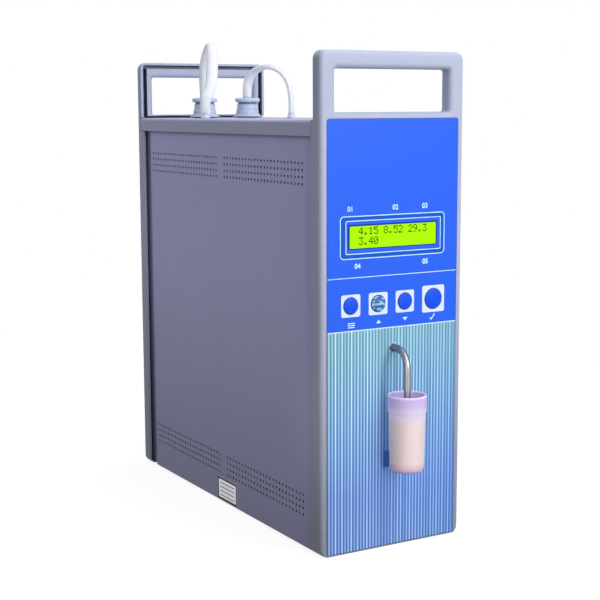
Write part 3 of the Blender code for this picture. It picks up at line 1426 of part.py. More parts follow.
def screw_places():
    """Screw centres (x, level) on the rear face: into the base's tab and into the cover's."""
    levels = (SCREW_LOW, COVER_TOP - SCREW_DROP)
    return [(x, level) for level in levels for x in (-SCREW_X, SCREW_X)]


def rear_screws(rear):
    """Four pan-head screws, all of one mesh."""
    profile = [
        (0, -SCREW_LENGTH),
        (SCREW_RADIUS, -SCREW_LENGTH),
        (SCREW_RADIUS, 0),
        (SCREW_HEAD_RADIUS, 0),
        (SCREW_HEAD_RADIUS, SCREW_HEAD_HEIGHT / 2),
        (SCREW_HEAD_RADIUS * SCREW_CROWN_SHARE, SCREW_HEAD_HEIGHT),
        (0, SCREW_HEAD_HEIGHT),
    ]
    mesh = turned(profile, 10)
    for number, (x, level) in enumerate(screw_places(), 1):
        add(f"rear_screw_{number}", mesh, steel(), rear, (x, -GAP, level), (math.pi / 2, 0, 0))


def main():
    clear_scene()
    body = frame_empty("body", (0, ORIGIN_Y, 0))
    front = frame_empty("front", (0, FRONT, 0), parent=body)
    rear = frame_empty("rear", (0, REAR, 0), (0, 0, BEHIND), body)
    front_panel(front)
    rear_panel(rear)
    top_cover(body)
    side_panel("left_side_panel", -1, body, True)
    side_panel("right_side_panel", 1, body, False)
    base_tray(body)
    graphic_overlay(front)
    display(front)
    buttons(front)
    keypad_board(front)
    intake(front)
    sample_cup(front)
    cup_holder(front)
    for name, x in (("left", -RESERVOIR_X), ("right", RESERVOIR_X)):
        reservoir(f"reservoir_{name}", x, body)
        stopper(f"stopper_{name}", x, body)
    for name, (x, y) in zip(("left", "right"), port_places()):
        hose_port(f"hose_port_{name}", x, y, body)
    top_hoses(body)
    mounting_plate(body)
    measuring_cell(body)
    intake_sleeve(body)
    pump_housing(body)
    pump_rotor(body)
    pump_motor(body)
    inner_hoses(body)
    main_board(body)
    reservoir_stand(body)
    power_supply(body)
    power_inlet(rear)
    power_switch(rear)
    serial_connector(rear)
    rear_screws(rear)


main()
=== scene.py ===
"""Looks for the desk-top milk analyzer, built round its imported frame.

Everything is in metres in the row frame: the front faces -Y, Z is up and X runs to the right.
"""

import json
import math
from itertools import product

import bmesh
import bpy
from mathutils import Matrix, Vector

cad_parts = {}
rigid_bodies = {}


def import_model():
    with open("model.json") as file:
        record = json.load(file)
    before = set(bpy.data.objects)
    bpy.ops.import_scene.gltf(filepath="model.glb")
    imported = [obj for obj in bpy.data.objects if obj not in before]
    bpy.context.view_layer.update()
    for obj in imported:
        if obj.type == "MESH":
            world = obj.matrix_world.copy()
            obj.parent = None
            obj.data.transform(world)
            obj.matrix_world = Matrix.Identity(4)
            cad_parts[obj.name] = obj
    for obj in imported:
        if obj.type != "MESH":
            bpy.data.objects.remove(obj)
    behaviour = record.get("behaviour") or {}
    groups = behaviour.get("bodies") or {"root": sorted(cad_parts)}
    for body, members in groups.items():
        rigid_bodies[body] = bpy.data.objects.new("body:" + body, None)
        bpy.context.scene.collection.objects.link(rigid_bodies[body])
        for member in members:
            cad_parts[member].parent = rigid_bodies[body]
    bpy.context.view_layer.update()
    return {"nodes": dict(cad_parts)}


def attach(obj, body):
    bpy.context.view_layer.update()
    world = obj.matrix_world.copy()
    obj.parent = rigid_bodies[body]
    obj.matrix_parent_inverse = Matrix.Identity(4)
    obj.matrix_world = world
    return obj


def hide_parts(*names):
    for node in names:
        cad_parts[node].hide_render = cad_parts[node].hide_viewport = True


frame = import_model()
NODES = frame["nodes"]
BODY = "instrument"
WHITE = (1, 1, 1, 1)
QUARTER = math.pi / 2
LYING = (QUARTER, 0, 0)
MM = 0.001


def mm(*values):
    """Millimetres as metres."""
    return tuple(value * MM for value in values)


# The case, as in the frame
MIDDLE, HALF_DEPTH, HALF_WIDTH = mm(10.45, 127.5, 50)
FRONT, REAR = MIDDLE - HALF_DEPTH, MIDDLE + HALF_DEPTH
PANEL_HEIGHT, PANEL_DEPTH, PANEL_SKIN, PANEL_WALL = mm(293, 10.5, 2.5, 1.6)
PANEL_CORNER, PANEL_INNER_CORNER, PANEL_FILLET = mm(5, 2, 3)
HANDLE_DEPTH, ISLAND_TOP = mm(8, 6.1)
OPENING_HALF, OPENING_TOP, OPENING_CORNER, OPENING_FILLET = mm(39.5, 282.8, 1.5, 3.2)
# Each handle's sill, the wall below it, draft, inner fillet and the island at each side
FRONT_HANDLE = mm(258.4, 2, 0, 0, 6.4)
REAR_HANDLE = mm(256.3, 0.9, 2, 2.4, 5.7)
COVER_TOP, COVER_FLANGE, COVER_LAP = mm(254, 9, 5)
GAP, OVERRUN = mm(0.3, 3)
CORNER_STEPS = 10
FILLET_STEPS = 8

# Side sheets, their vents and the label on the left one; each box is left, right, low and high
SHEET, SIDE_FACE = mm(1.5, 48.1)
SIDE_FRONT, SIDE_BEND, SIDE_BOTTOM, SIDE_TOP = mm(-121, 108.5, 1, 252.2)
JOGGLE = [mm(0.4, 0.5), mm(1.2, 3), mm(0.4, 0.5), mm(0, 8.5)]
VENT_RADIUS, VENT_PITCH, VENT_ROW_PITCH, VENT_MIDDLE = mm(0.85, 4.1, 4.05, 55)
VENT_ROWS = 4
VENT_COLUMNS = 25
VENT_LOWS = mm(217.25, 20.4)
LABEL = (MIDDLE - 18.7 * MM, MIDDLE + 8.8 * MM, 1.6 * MM, 17 * MM)
LABEL_CORNER, LABEL_THICKNESS, LABEL_MARGIN, LABEL_BORDER = mm(0.5, 0.08, 0.1, 1.4)
RULE_INDENT, RULE_FIRST, RULE_PITCH, RULE_LINE = mm(4, 3, 2.8, 0.5)

# Foil and the openings in the front panel
FOIL_HALF, FOIL_FOOT, FOIL_TOP, FOIL_CORNER = mm(45.5, 1, 254.6, 1.5)
FOIL_FACE, FOIL_THICKNESS, FOIL_RECESS, BEHIND_SKIN = mm(-0.1, 0.5, 0.7, 2.8)
WINDOW_HALF, WINDOW_TALL, WINDOW_LEVEL = mm(30.4, 6.4, 187.3)
WINDOW_CORNER, WINDOW_MARGIN = mm(0.4, 2.1)
BOSS_X, BOSS_RADIUS, BOSS_END = mm(40.5, 2.2, 9.3)
INTAKE_LEVEL, INTAKE_RADIUS, INTAKE_BORE = mm(121, 2.05, 1.6)
INTAKE_TAIL, INTAKE_STRAIGHT, INTAKE_BEND, INTAKE_FOOT = mm(27, 4, 11, 57)

# What is printed on the foil, with the painted shadow round the window and the painted reflection round the
# tube
PRINT = 0.03 * MM
STRIPE_PITCH, STRIPE_WOBBLE, STRIPE_TOP = mm(2.2, 0.6, 133.1)
DIVISION = mm(132.8, 133.4)
UPPER_RULE = mm(163.9, 164.3)
OUTER_FRAME = mm(-37, 36.4, 174.8, 199.7)
INNER_FRAME = mm(-33.2, 33.6, 177.6, 197)
OUTER_CORNER, OUTER_LINE = mm(2.6, 0.5)
INNER_CORNER, INNER_LINE = mm(1, 0.45)
# Painted shadow of the window's recess, wider on the left than on the right
WINDOW_SHADOW = (-WINDOW_HALF - 1.3 * MM, WINDOW_HALF + 0.4 * MM, 180.4 * MM, 194.7 * MM)
# Lap of the band, corner of the painted window shadow, width of the painted reflection round the tube, and
# corner of the squares
BAND_LAP, WINDOW_SHADOW_CORNER, TUBE_REFLECTION_RING, SQUARE_CORNER = mm(0.1, 0.5, 0.6, 1.3)
ARROWS = [(-10.3 * MM, 137.2 * MM, 1), (8.4 * MM, 137.4 * MM, -1)]
ARROW_HALF, ARROW_BASE, ARROW_TIP = mm(1.7, 1, 1.2)
BARS = mm(-31.6, -26.8)
BARS_FOOT, BAR_PITCH, BAR_LINE = mm(135, 1.2, 0.55)
TICK = [mm(26.2, 136.4), mm(27.5, 135), mm(30.2, 138.6), mm(29.6, 139.1), mm(27.45, 136), mm(26.7, 136.9)]
NUMERALS = [("01", -30, 203.6), ("02", 1, 203.6), ("03", 22, 203.6), ("04", -25, 170.6), ("05", 22.6, 170.6)]
NUMERAL_SIZE, NUMERAL_BOLD = mm(4.1, 0.1)

# Buttons: place, radius of the cap and half of the square printed round it
BUTTON_LEVEL = 147.9 * MM
BUTTONS = [mm(-29.6, 4.9, 6.55), mm(-10.7, 4.9, 6.55), mm(8.2, 4.9, 6.55), mm(28.7, 6.1, 8.05)]
STEM_RADIUS, STEM_END = mm(1.8, 4.6)
CAP_FLANGE, CAP_FLANGE_END, CAP_EDGE, CAP_BEVEL = mm(1.2, 3.8, 0.3, 0.05)
CAP_DOME_FOOT, CAP_DOME = mm(0.4, 0.6)

# Readings: characters of five by seven dots
READINGS = ("4.15 8.52 29.3", "3.40")
READINGS_LEFT, READINGS_TOP = mm(-22.4, 192.7)
LETTER_PITCH, ROW_PITCH = mm(3.45, 5.8)
DOT_PITCH = mm(0.6, 0.63)
DOT_SIZE = mm(0.58, 0.61)
DOTS = {
    "0": "01110 10001 10011 10101 11001 10001 01110",
    "1": "00100 01100 00100 00100 00100 00100 01110",
    "2": "01110 10001 00001 00010 00100 01000 11111",
    "3": "11111 00010 00100 00010 00001 10001 01110",
    "4": "00010 00110 01010 10010 11111 00010 00010",
    "5": "11111 10000 11110 00001 00001 10001 01110",
    "8": "01110 10001 10001 01110 10001 10001 01110",
    "9": "01110 10001 10001 01111 00001 00010 01100",
    ".": "00000 00000 00000 00000 00000 01100 01100",
}

# Cup and its milk, turned: radius and height of each point, in millimetres
CUP_AXIS = FRONT - 15 * MM
CUP_BOTTOM, CUP_HEIGHT = mm(50, 45.5)
CUP_FOOT, CUP_CORNER = 10.1, 2
CUP_SIDE = ((10.8, 34.3), (11, 34.9), (11.2, 35.3), (11.4, 35.8))
CUP_RIM = (10.9, 45, 0.5)
CUP_INSIDE = ((10.4, 36), (9.8, 35), (9.1, 3), (8.7, 1.6), (7.9, 1), (0, 1))
CUP_RIB = ((-3.5, 13.4), (-2.3, 9.8), (2.3, 9.8), (3.5, 13.4))
RIB_SPAN = mm(1, 11)
MILK = ((0, 1.04), (7.8, 1.04), (8.65, 1.7), (9.06, 3), (9.68, 32.5), (9.2, 32.25), (0, 32.2))

# Stoppers and ports, turned in the same way, from the cover
STOPPER_X, STOPPER_HEIGHT, PORT_HEIGHT = mm(17, 13.8, 2.8)
STOPPER_Y = MIDDLE + 84 * MM
STOPPER_PLUG = ((0, -10), (6.8, -10), (7.3, 0), (10.2, 0), (10.5, 0.3), (10.5, 0.7))
STOPPER_NECK = ((7.9, 5.2), (7.7, 5.6), (7.3, 5.8), (7.3, 9), (7.2, 9.3), (6.6, 9.6), (6.6, 10.5), (8, 10.7))
STOPPER_MOUTH = ((5.2, 13.8), (3.4, 13.8), (3.2, 12.8), (0, 12.8))
PORTS = [(-38 * MM, MIDDLE + 40.7 * MM), (17 * MM, MIDDLE + 20.7 * MM)]
PORT = (
    (0, -10), (1.6, -10), (1.6, -4.1), (2.9, -4.1), (3.9, -2.1), (2.2, -2.1), (2.2, 0),
    (3, 0), (3.1, 0.2), (2.9, 0.6), (2.3, 2.3), (2, 2.8), (0, 2.8),
)

# Routes of the hoses as shares of their span across, along and up
LEFT_ARCH = [
    (0.01, 0, 0.43), (0.03, 0.02, 0.6), (0.045, 0.07, 0.75), (0.055, 0.15, 0.875), (0.075, 0.255, 0.965),
    (0.145, 0.39, 1), (0.27, 0.54, 0.945), (0.4, 0.675, 0.82), (0.52, 0.79, 0.66), (0.65, 0.885, 0.5),
    (0.81, 0.96, 0.37), (0.965, 0.997, 0.28), (1, 1, 0.17),
]
RIGHT_ARCH = [
    (0, 0, 0.55), (0, 0.032, 0.741), (0, 0.101, 0.866), (0, 0.231, 0.952), (0, 0.357, 0.991), (0, 0.49, 1),
    (0, 0.635, 0.969), (0, 0.765, 0.892), (0, 0.87, 0.775), (0, 0.948, 0.621), (0, 0.986, 0.442),
    (0, 1, 0.22),
]
LEFT_RISE, RIGHT_RISE, HOSE_STEP = mm(50.2, 35.1, 2.5)
# Height above the cover, breadth and thickness of each flattened hose in millimetres, up and down
LEFT_UP = [(14, 6.2, 6.2), (22, 6.6, 5.6), (31, 7.4, 4.6), (40, 7.0, 3.8), (48, 6.4, 3.4), (51, 6.2, 3.4)]
LEFT_DOWN = [(3, 7.0, 4.6), (14, 7.1, 4.6), (24, 7.6, 4.6), (31, 7.8, 4.4), (40, 7.2, 4.0), (51, 6.4, 3.6)]
RIGHT_UP = [(14, 6.2, 6.2), (20, 6.8, 5.6), (27, 7.6, 4.4), (33, 8.0, 3.7), (36, 8.0, 3.6)]
RIGHT_DOWN = [(3, 6.0, 4.2), (7, 7.4, 3.8), (20, 7.8, 3.7), (30, 8.0, 3.7), (36, 8.0, 3.6)]
# Where the breadth of the right hose points in its descending limb
RIGHT_FACING = Vector((-0.5, -0.86, 0))

# Rear: openings as middle, half width and half height; turned forms as radius and height in millimetres
MAINS_LEVEL, SERIAL_LEVEL = mm(36, 72)
INLET_HOLE = mm(-19, 14.3, 10.8)
INLET_BLADES = [mm(-26, 36), mm(-19, 38), mm(-12, 36)]
BLADE_HALF = mm(1.08, 2.08)
BLADE_CORNER = 0.5 * MM
BLADE_SPAN = mm(-0.08, 15.9)
SWITCH_HOLE = mm(20, 6.8, 9.8)
SWITCH_PIVOT, ROCKER_FRONT = mm(3.5, -5.12)
ROCKER_TILT = math.radians(8)
MARK_UP, MARK_THICKNESS, MARK_LINE = mm(4.3, 0.06, 0.35)
MARK_RADII = mm(1.7, 1.1)
SERIAL_HALF = mm(8.5, 4.2)
SERIAL_SLANT = 1 * MM
SERIAL_INSERT = mm(-0.55, -0.27)
SERIAL_ROWS = [(5, 1.42 * MM), (4, -1.42 * MM)]
PIN_PITCH, PIN_BACK = mm(2.77, -0.5)
PIN = ((0, 0), (0.5, 0), (0.5, 3.6), (0.25, 4.1), (0, 4.2))
NUT_X, NUT_BACK = mm(12.5, -1.32)
NUT = ((1.2, 0), (2.4, 0), (2.4, 2.2), (1.9, 2.6), (1.2, 2.6))
SCREW_X, SCREW_HOLE = mm(40, 1.75)
SCREW_LEVELS = mm(12, 245)
SCREW_SHANK = ((0, -9), (1.5, -9), (1.5, 0), (2.8, 0))
SCREW_RADIUS, SCREW_FOOT, SCREW_DOME = 2.8, 0.7, 1.1
CROSS_ARMS = (mm(0.35, 1.5), mm(1.5, 0.35))
CROSS_SPAN = mm(0.9, 3)


# Node helpers, for materials and the world alike

def node(mat, kind, inputs=None, **settings):
    """A shader node with its settings and inputs, each a value or an output."""
    made = mat.node_tree.nodes.new(f"ShaderNode{kind}")
    for key, value in settings.items():
        setattr(made, key, value)
    for key, value in (inputs or {}).items():
        if isinstance(value, bpy.types.NodeSocket):
            mat.node_tree.links.new(value, made.inputs[key])
        else:
            made.inputs[key].default_value = value
    return made


def calc(mat, operation, a, b=0, c=0):
    return node(mat, "Math", {0: a, 1: b, 2: c}, operation=operation).outputs[0]


def noise(mat, place, scale, detail=3, rough=0.5):
    made = node(mat, "TexNoise", {"Vector": place, "Scale": scale, "Detail": detail, "Roughness": rough})
    return made.outputs["Fac"]


def stretched(mat, place, scale):
    return node(mat, "Mapping", {"Vector": place, "Scale": scale}).outputs["Vector"]


def axis_of(mat, place, axis):
    return node(mat, "SeparateXYZ", {"Vector": place}).outputs[axis]


def spread(mat, value, low, high, to_low=0, to_high=1, smooth=True):
    ends = {"Value": value, "From Min": low, "From Max": high, "To Min": to_low, "To Max": to_high}
    kind = "SMOOTHSTEP" if smooth else "LINEAR"
    return node(mat, "MapRange", ends, interpolation_type=kind).outputs["Result"]


def whole(colour):
    """A colour with its alpha; an output stays as it is."""
    return colour if isinstance(colour, bpy.types.NodeSocket) else (*colour[:3], 1)


def blend(mat, share, first, second, how="MIX"):
    """Two colours mixed; the share and the colours are values or outputs."""
    inputs = {0: share, 6: whole(first), 7: whole(second)}
    return node(mat, "Mix", inputs, data_type="RGBA", blend_type=how).outputs[2]


def ramped(mat, value, levels, colours):
    """Colour along a value from 0 to 1, with these colours at these levels."""
    ramp = node(mat, "ValToRGB", {"Fac": value})
    elements = ramp.color_ramp.elements
    while len(elements) < len(levels):
        elements.new(0.5)
    for element, level, colour in zip(elements, levels, colours):
        element.position = level
        element.color = (*colour, 1)
    return ramp.outputs["Color"]


def surface(mat):
    return mat.node_tree.nodes["Principled BSDF"].inputs


def wire(mat, output, name):
    """Joins an output to this input of the material's surface."""
    mat.node_tree.links.new(output, surface(mat)[name])


def start(name, sheen=0.5, **sockets):
    """A material with these values on its surface, and a point's place in the frame."""
    mat = bpy.data.materials.new(name)
    mat.use_nodes = True
    surface(mat)["Specular IOR Level"].default_value = sheen
    for key, value in sockets.items():
        surface(mat)[key.replace("_", " ")].default_value = value
    return mat, node(mat, "TexCoord").outputs["Object"]


def bumped(mat, height, depth):
    bump = node(mat, "Bump", {"Distance": depth, "Height": height})
    wire(mat, bump.outputs["Normal"], "Normal")


def tinted(colour, factor):
    return tuple(min(1.0, v * factor) for v in colour)


def grained(
    name, colour, roughness, grain=700, shade=0.06, depth=0.02 * MM, mottle=0.05, along=None, **sockets
):
    """A surface with a fine grain in its colour and gloss, over a slow mottle."""
    mat, place = start(name, **sockets)
    if along:
        place = stretched(mat, place, along)
    fine = noise(mat, place, grain)
    slow = noise(mat, place, grain / 40, 2)
    ground = blend(mat, slow, tinted(colour, 1 - mottle), tinted(colour, 1 + mottle))
    speck = spread(mat, fine, 0.3, 0.7)
    wire(mat, blend(mat, speck, tinted(colour, 1 - shade), ground), "Base Color")
    wire(mat, spread(mat, fine, 0.3, 0.7, roughness - 0.05, roughness + 0.05), "Roughness")
    bumped(mat, fine, depth)
    return mat


def own_colour(mat):
    return surface(mat)["Base Color"].links[0].from_socket


def painted_crevice_shade(mat, reach, low, high, dark):
    """Painted shade: the material's colour darkened where ambient occlusion finds it enclosed, as in slots.
    """
    hollow = node(mat, "AmbientOcclusion", {"Distance": reach}, samples=8, only_local=False)
    open_share = spread(mat, hollow.outputs["AO"], low, high)
    wire(mat, blend(mat, open_share, dark, own_colour(mat)), "Base Color")
    return mat


def painted_foot_shade(mat, foot_shade_tint, top):
    """Painted shade: the material darkened by this colour at its foot, fading to its own colour at this
    height.
    """
    up = axis_of(mat, node(mat, "TexCoord").outputs["Object"], "Z")
    veil = blend(mat, spread(mat, up, 0, top), foot_shade_tint, WHITE)
    wire(mat, blend(mat, 1, own_colour(mat), veil, "MULTIPLY"), "Base Color")
    return mat


def glowing(mat, weight, reach):
    """The material with light spreading this far inside it, evenly in all colours."""
    for key, value in (("Weight", weight), ("Radius", (1, 1, 1)), ("Scale", reach)):
        surface(mat)[f"Subsurface {key}"].default_value = value
    return mat


def translucent(mat, share):
    """The material letting this share of the light through each of its faces, as shade."""
    solid = surface(mat)["Alpha"].default_value
    shade = node(mat, "LightPath").outputs["Is Shadow Ray"]
    wire(mat, calc(mat, "MULTIPLY_ADD", shade, -share * solid, solid), "Alpha")
    return mat


# Camera and light

def forget_startup():
    for obj in list(bpy.data.objects):
        if obj.name in ("Cube", "Light", "Camera"):
            bpy.data.objects.remove(obj)


def linked(name, data):
    """A new object in the scene."""
    obj = bpy.data.objects.new(name, data)
    bpy.context.scene.collection.objects.link(obj)
    return obj


def camera():
    """The camera that took the picture: 79 mm on a 36 mm square, from the front left."""
    data = bpy.data.cameras.new("camera")
    data.lens = 78.858
    obj = linked("camera", data)
    obj.matrix_world = Matrix.Translation((-0.4322, -0.7482, 0.2612))
    for angle, axis in ((-30.30, "Z"), (81.66, "X"), (-0.206, "Z")):
        obj.matrix_world @= Matrix.Rotation(math.radians(angle), 4, axis)
    bpy.context.scene.camera = obj


def hung(name, data, place, aim, power, colour):
    """Hangs up a lamp, pointed at its aim."""
    data.energy = power
    data.color = colour
    obj = linked(name, data)
    obj.location = place
    obj.rotation_euler = (Vector(aim) - Vector(place)).to_track_quat("-Z", "Y").to_euler()


def lamp(name, place, aim, size, power, colour):
    data = bpy.data.lights.new(name, "AREA")
    data.size = size
    hung(name, data, place, aim, power, colour)


def narrow_lamp(name, place, aim, angle, power, colour):
    data = bpy.data.lights.new(name, "SPOT")
    data.spot_size = math.radians(angle)
    data.spot_blend = 0.9
    data.shadow_soft_size = 0.05
    hung(name, data, place, aim, power, colour)


def lights():
    lamp("key", (0.427, -1.175, 0.52), (0, -0.117, 0.15), 0.25, 6.4, (1, 0.985, 0.96))
    lamp("front_left", (-0.2, -1.15, 0.5), (0, -0.117, 0.15), 0.4, 5.3, (1, 0.99, 0.98))
    lamp("front_top", (0.2, -0.72, 1.1), (0, -0.117, 0.2), 0.5, 3.9, (0.88, 0.92, 1))
    lamp("left_fill", (-0.45, 0.52, 0.72), (-0.05, 0.04, 0.2), 0.4, 1.6, (0.79, 0.82, 1))
    narrow_lamp("cup_left", (-0.55, -0.45, 0.14), (0.002, -0.132, 0.073), 7, 8.6, (1, 0.97, 0.97))
    lamp("top", (0.3, 0.12, 1.5), (0, 0.02, 0.25), 0.5, 6.7, (1, 1, 1))


def looked_at(mat):
    """The light path, and 1 where the eye sees a thing, straight, mirrored or through another."""
    path = node(mat, "LightPath").outputs
    mirrored = calc(mat, "MAXIMUM", path["Is Glossy Ray"], path["Is Transmission Ray"])
    return path, calc(mat, "MAXIMUM", path["Is Camera Ray"], mirrored)


def plain_world():
    """A pale surround: white to the eye, less so where it is mirrored, dimmer as light."""
    world = bpy.data.worlds.new("surround")
    bpy.context.scene.world = world
    world.use_nodes = True
    world.node_tree.nodes.clear()
    path, seen = looked_at(world)
    soft = node(world, "Background", {"Color": (0.93, 0.95, 1, 1), "Strength": 0.19})
    strength = calc(world, "MULTIPLY_ADD", path["Is Glossy Ray"], -0.35, 1)
    white = node(world, "Background", {"Color": WHITE, "Strength": strength})
    mixed = node(world, "MixShader", {0: seen, 1: soft.outputs[0], 2: white.outputs[0]})
    node(world, "OutputWorld", {"Surface": mixed.outputs[0]})


# Materials

def shell_plastic():
    mat = grained("shell_plastic", (0.425, 0.465, 0.61), 0.5, 900, 0.05, 0.03 * MM, sheen=0.3)
    # Painted shade: darker towards the foot, and near black in the handle slots and other recesses.
    mat = painted_foot_shade(mat, (0.59, 0.58, 0.55), 190 * MM)
    return painted_crevice_shade(mat, 9 * MM, 0.18, 0.42, (0.008, 0.014, 0.06))


def sheet_paint():
    mat = grained("sheet_paint", (0.545, 0.545, 0.83), 0.5, 1400, 0.08, sheen=0.25)
    # Painted shade: darker towards the foot, and dark in the vent holes and the step before the rear shell.
    mat = painted_foot_shade(mat, (0.66, 0.64, 0.65), 180 * MM)
    return painted_crevice_shade(mat, 1.7 * MM, 0.46, 0.72, (0.006, 0.007, 0.025))


def cover_paint():
    return grained("cover_paint", (0.50, 0.52, 0.70), 0.48, 1400, 0.08, sheen=0.25)


def foil_print():
    """Blue print above, and below it a pale field of thin upright lines."""
    mat, place = start("foil_print", Roughness=0.4, sheen=0.2)
    across, up = axis_of(mat, place, "X"), axis_of(mat, place, "Z")
    fine = noise(mat, place, 900, 2)
    drift = noise(mat, stretched(mat, place, (1, 1, 0.02)), 120, 2)
    wobble = calc(mat, "MULTIPLY_ADD", drift, STRIPE_WOBBLE, across)
    half = STRIPE_PITCH / 2
    line = spread(mat, calc(mat, "PINGPONG", wobble, half), 0.15 * half, 0.7 * half, 1, 0)
    number = calc(mat, "FLOOR", calc(mat, "MULTIPLY_ADD", wobble, 1 / STRIPE_PITCH, 0.5))
    chance = node(mat, "TexWhiteNoise", {"W": number}, noise_dimensions="1D").outputs["Value"]
    strength = spread(mat, chance, 0, 1, 0.45, 1, smooth=False)
    level = spread(mat, up, 0, STRIPE_TOP, smooth=False)
    levels = (0, 0.26, 0.71, 1)
    brights = ((0.54, 0.76, 1), (0.46, 0.66, 1), (0.62, 0.90, 1), (0.60, 0.93, 0.95))
    bright = ramped(mat, level, levels, brights)
    deeps = ((0.07, 0.17, 0.50), (0.07, 0.17, 0.50), (0.09, 0.24, 0.46), (0.12, 0.31, 0.41))
    deep = ramped(mat, level, levels, deeps)
    # Painted shade: the lined field darkened towards its right-hand side.
    painted_right_shade = blend(mat, spread(mat, across, -FOIL_HALF, FOIL_HALF, smooth=False), WHITE, (0.66, 0.74, 1))
    pale = blend(mat, 1, bright, painted_right_shade, "MULTIPLY")
    lined = blend(mat, calc(mat, "MULTIPLY", line, strength), deep, pale)
    blue = blend(mat, fine, (0.018, 0.112, 0.80), (0.022, 0.123, 0.84))
    upper = spread(mat, up, STRIPE_TOP, STRIPE_TOP + 0.1 * MM)
    wire(mat, blend(mat, upper, lined, blue), "Base Color")
    bumped(mat, fine, 0.004 * MM)
    return mat


def ink(name, colour, roughness=0.4, **sockets):
    return grained(name, colour, roughness, 2500, 0.04, 0.002 * MM, 0.02, sheen=0.1, **sockets)


def lit_display():
    """Backlit glass: bright yellow-green with the faint cells of its characters."""
    black = (0.004, 0.008, 0.001, 1)
    mat, place = start("lit_display", Base_Color=black, Roughness=0.25, sheen=0.02, Emission_Strength=1)
    moved_across = calc(mat, "SUBTRACT", axis_of(mat, place, "X"), READINGS_LEFT - 0.2 * MM)
    cell = calc(mat, "PINGPONG", moved_across, LETTER_PITCH / 2)
    seam = spread(mat, cell, 0.1 * MM, 0.4 * MM, 0.35, 0)
    glow = blend(mat, noise(mat, place, 300), (0.47, 1, 0.001), (0.45, 0.95, 0.001))
    wire(mat, blend(mat, seam, glow, (0.40, 0.90, 0.001)), "Emission Color")
    return mat


def cap_plastic():
    mat = grained("cap_plastic", (0.006, 0.08, 0.80), 0.4, 2200, 0.03, 0.002 * MM, 0.03, sheen=0.2)
    # Painted shade: the caps darkened where they sit in the narrow gap in the foil.
    return painted_crevice_shade(mat, 1.2 * MM, 0.3, 0.8, (0.004, 0.02, 0.2))


def marbled_cap():
    """A cap with a marbled face in two blues, and a dark rim."""
    mat, place = start("marbled_cap", Roughness=0.4, sheen=0.2)
    veins = noise(mat, stretched(mat, place, (0.45, 1, 1)), 620, 4, 0.6)
    face = blend(mat, spread(mat, veins, 0.47, 0.6), (0.02, 0.12, 0.36), (0.36, 0.60, 0.74))
    x, radius, _ = BUTTONS[1]
    flat, centre = stretched(mat, place, (1, 0, 1)), (x, 0, BUTTON_LEVEL)
    away = node(mat, "VectorMath", {0: flat, 1: centre}, operation="DISTANCE").outputs["Value"]
    rim = spread(mat, away, radius - 0.4 * MM, radius - 0.15 * MM)
    wire(mat, blend(mat, rim, face, (0.01, 0.08, 0.4)), "Base Color")
    bumped(mat, veins, 0.01 * MM)
    return mat


def steel():
    """Bright steel, drawn along its length."""
    drawn = {"Anisotropic": 0.8, "Anisotropic_Rotation": 0.25, "Specular_Tint": (0.05, 0.05, 0.08, 1)}
    colour, along = (0.38, 0.36, 0.41), (1, 1, 0.08)
    mat = grained("bright_steel", colour, 0.32, 900, 0.12, 0.004 * MM, 0.05, along, Metallic=1, **drawn)
    wire(mat, node(mat, "Tangent", direction_type="RADIAL", axis="Z").outputs["Tangent"], "Tangent")
    return mat


def cup_plastic():
    """Thin tinted plastic, paler where milk stands behind it."""
    mat, place = start("cup_plastic", Roughness=0.35, sheen=0.3, Alpha=0.93)
    fine = noise(mat, place, 300, 2)
    level = spread(mat, axis_of(mat, place, "Z"), CUP_BOTTOM, CUP_BOTTOM + CUP_HEIGHT, smooth=False)
    uneven = calc(mat, "MULTIPLY_ADD", fine, 0.02, calc(mat, "SUBTRACT", level, 0.01))
    foot = ((0.50, 0.32, 0.41), (0.70, 0.49, 0.58), (0.86, 0.68, 0.66), (0.87, 0.73, 0.70))
    collar = ((0.87, 0.76, 0.92), (0.88, 0.76, 1), (0.66, 0.51, 0.86), (0.59, 0.44, 0.80), (0.92, 0.88, 1))
    levels = (0, 0.06, 0.13, 0.66, 0.70, 0.79, 0.88, 0.97, 1)
    wire(mat, ramped(mat, uneven, levels, (*foot, *collar)), "Base Color")
    # Painted shade: the cup darkened to a deeper purple inside and where it is enclosed.
    painted_crevice_shade(mat, 14 * MM, 0.2, 0.75, (0.24, 0.13, 0.42))
    wire(mat, spread(mat, fine, 0.3, 0.7, 0.32, 0.4), "Roughness")
    bumped(mat, fine, 0.006 * MM)
    return translucent(glowing(mat, 0.3, 12 * MM), 0.93)


def milk():
    mat = grained("milk", (0.92, 0.80, 0.77), 0.3, 200, 0.02, 0, 0.01, sheen=0.2)
    return translucent(glowing(mat, 1, 12 * MM), 0.93)


def holder_plastic():
    return grained("holder_plastic", (0.055, 0.13, 0.44), 0.4, 900, 0.15, sheen=0.2)


def rubber():
    mat = grained("stopper_rubber", (0.53, 0.62, 0.78), 0.38, 800, sheen=0.5)
    # Painted shade in the stoppers' groove under the flange and round the foot.
    return painted_crevice_shade(mat, 8 * MM, 0.4, 0.95, (0.03, 0.06, 0.15))


def silicone():
    mat = grained("silicone", (0.86, 0.91, 0.99), 0.45, 250, 0.03, 0.01 * MM, 0.02, sheen=0.15)
    return translucent(glowing(mat, 1, 8 * MM), 0.8)


def port_plastic():
    return grained("port_plastic", (0.62, 0.67, 0.80), 0.42, 500, 0.04, 0.01 * MM, sheen=0.3)


def dark_plastic():
    return grained("dark_plastic", (0.022, 0.022, 0.027), 0.42, 900, 0.2)


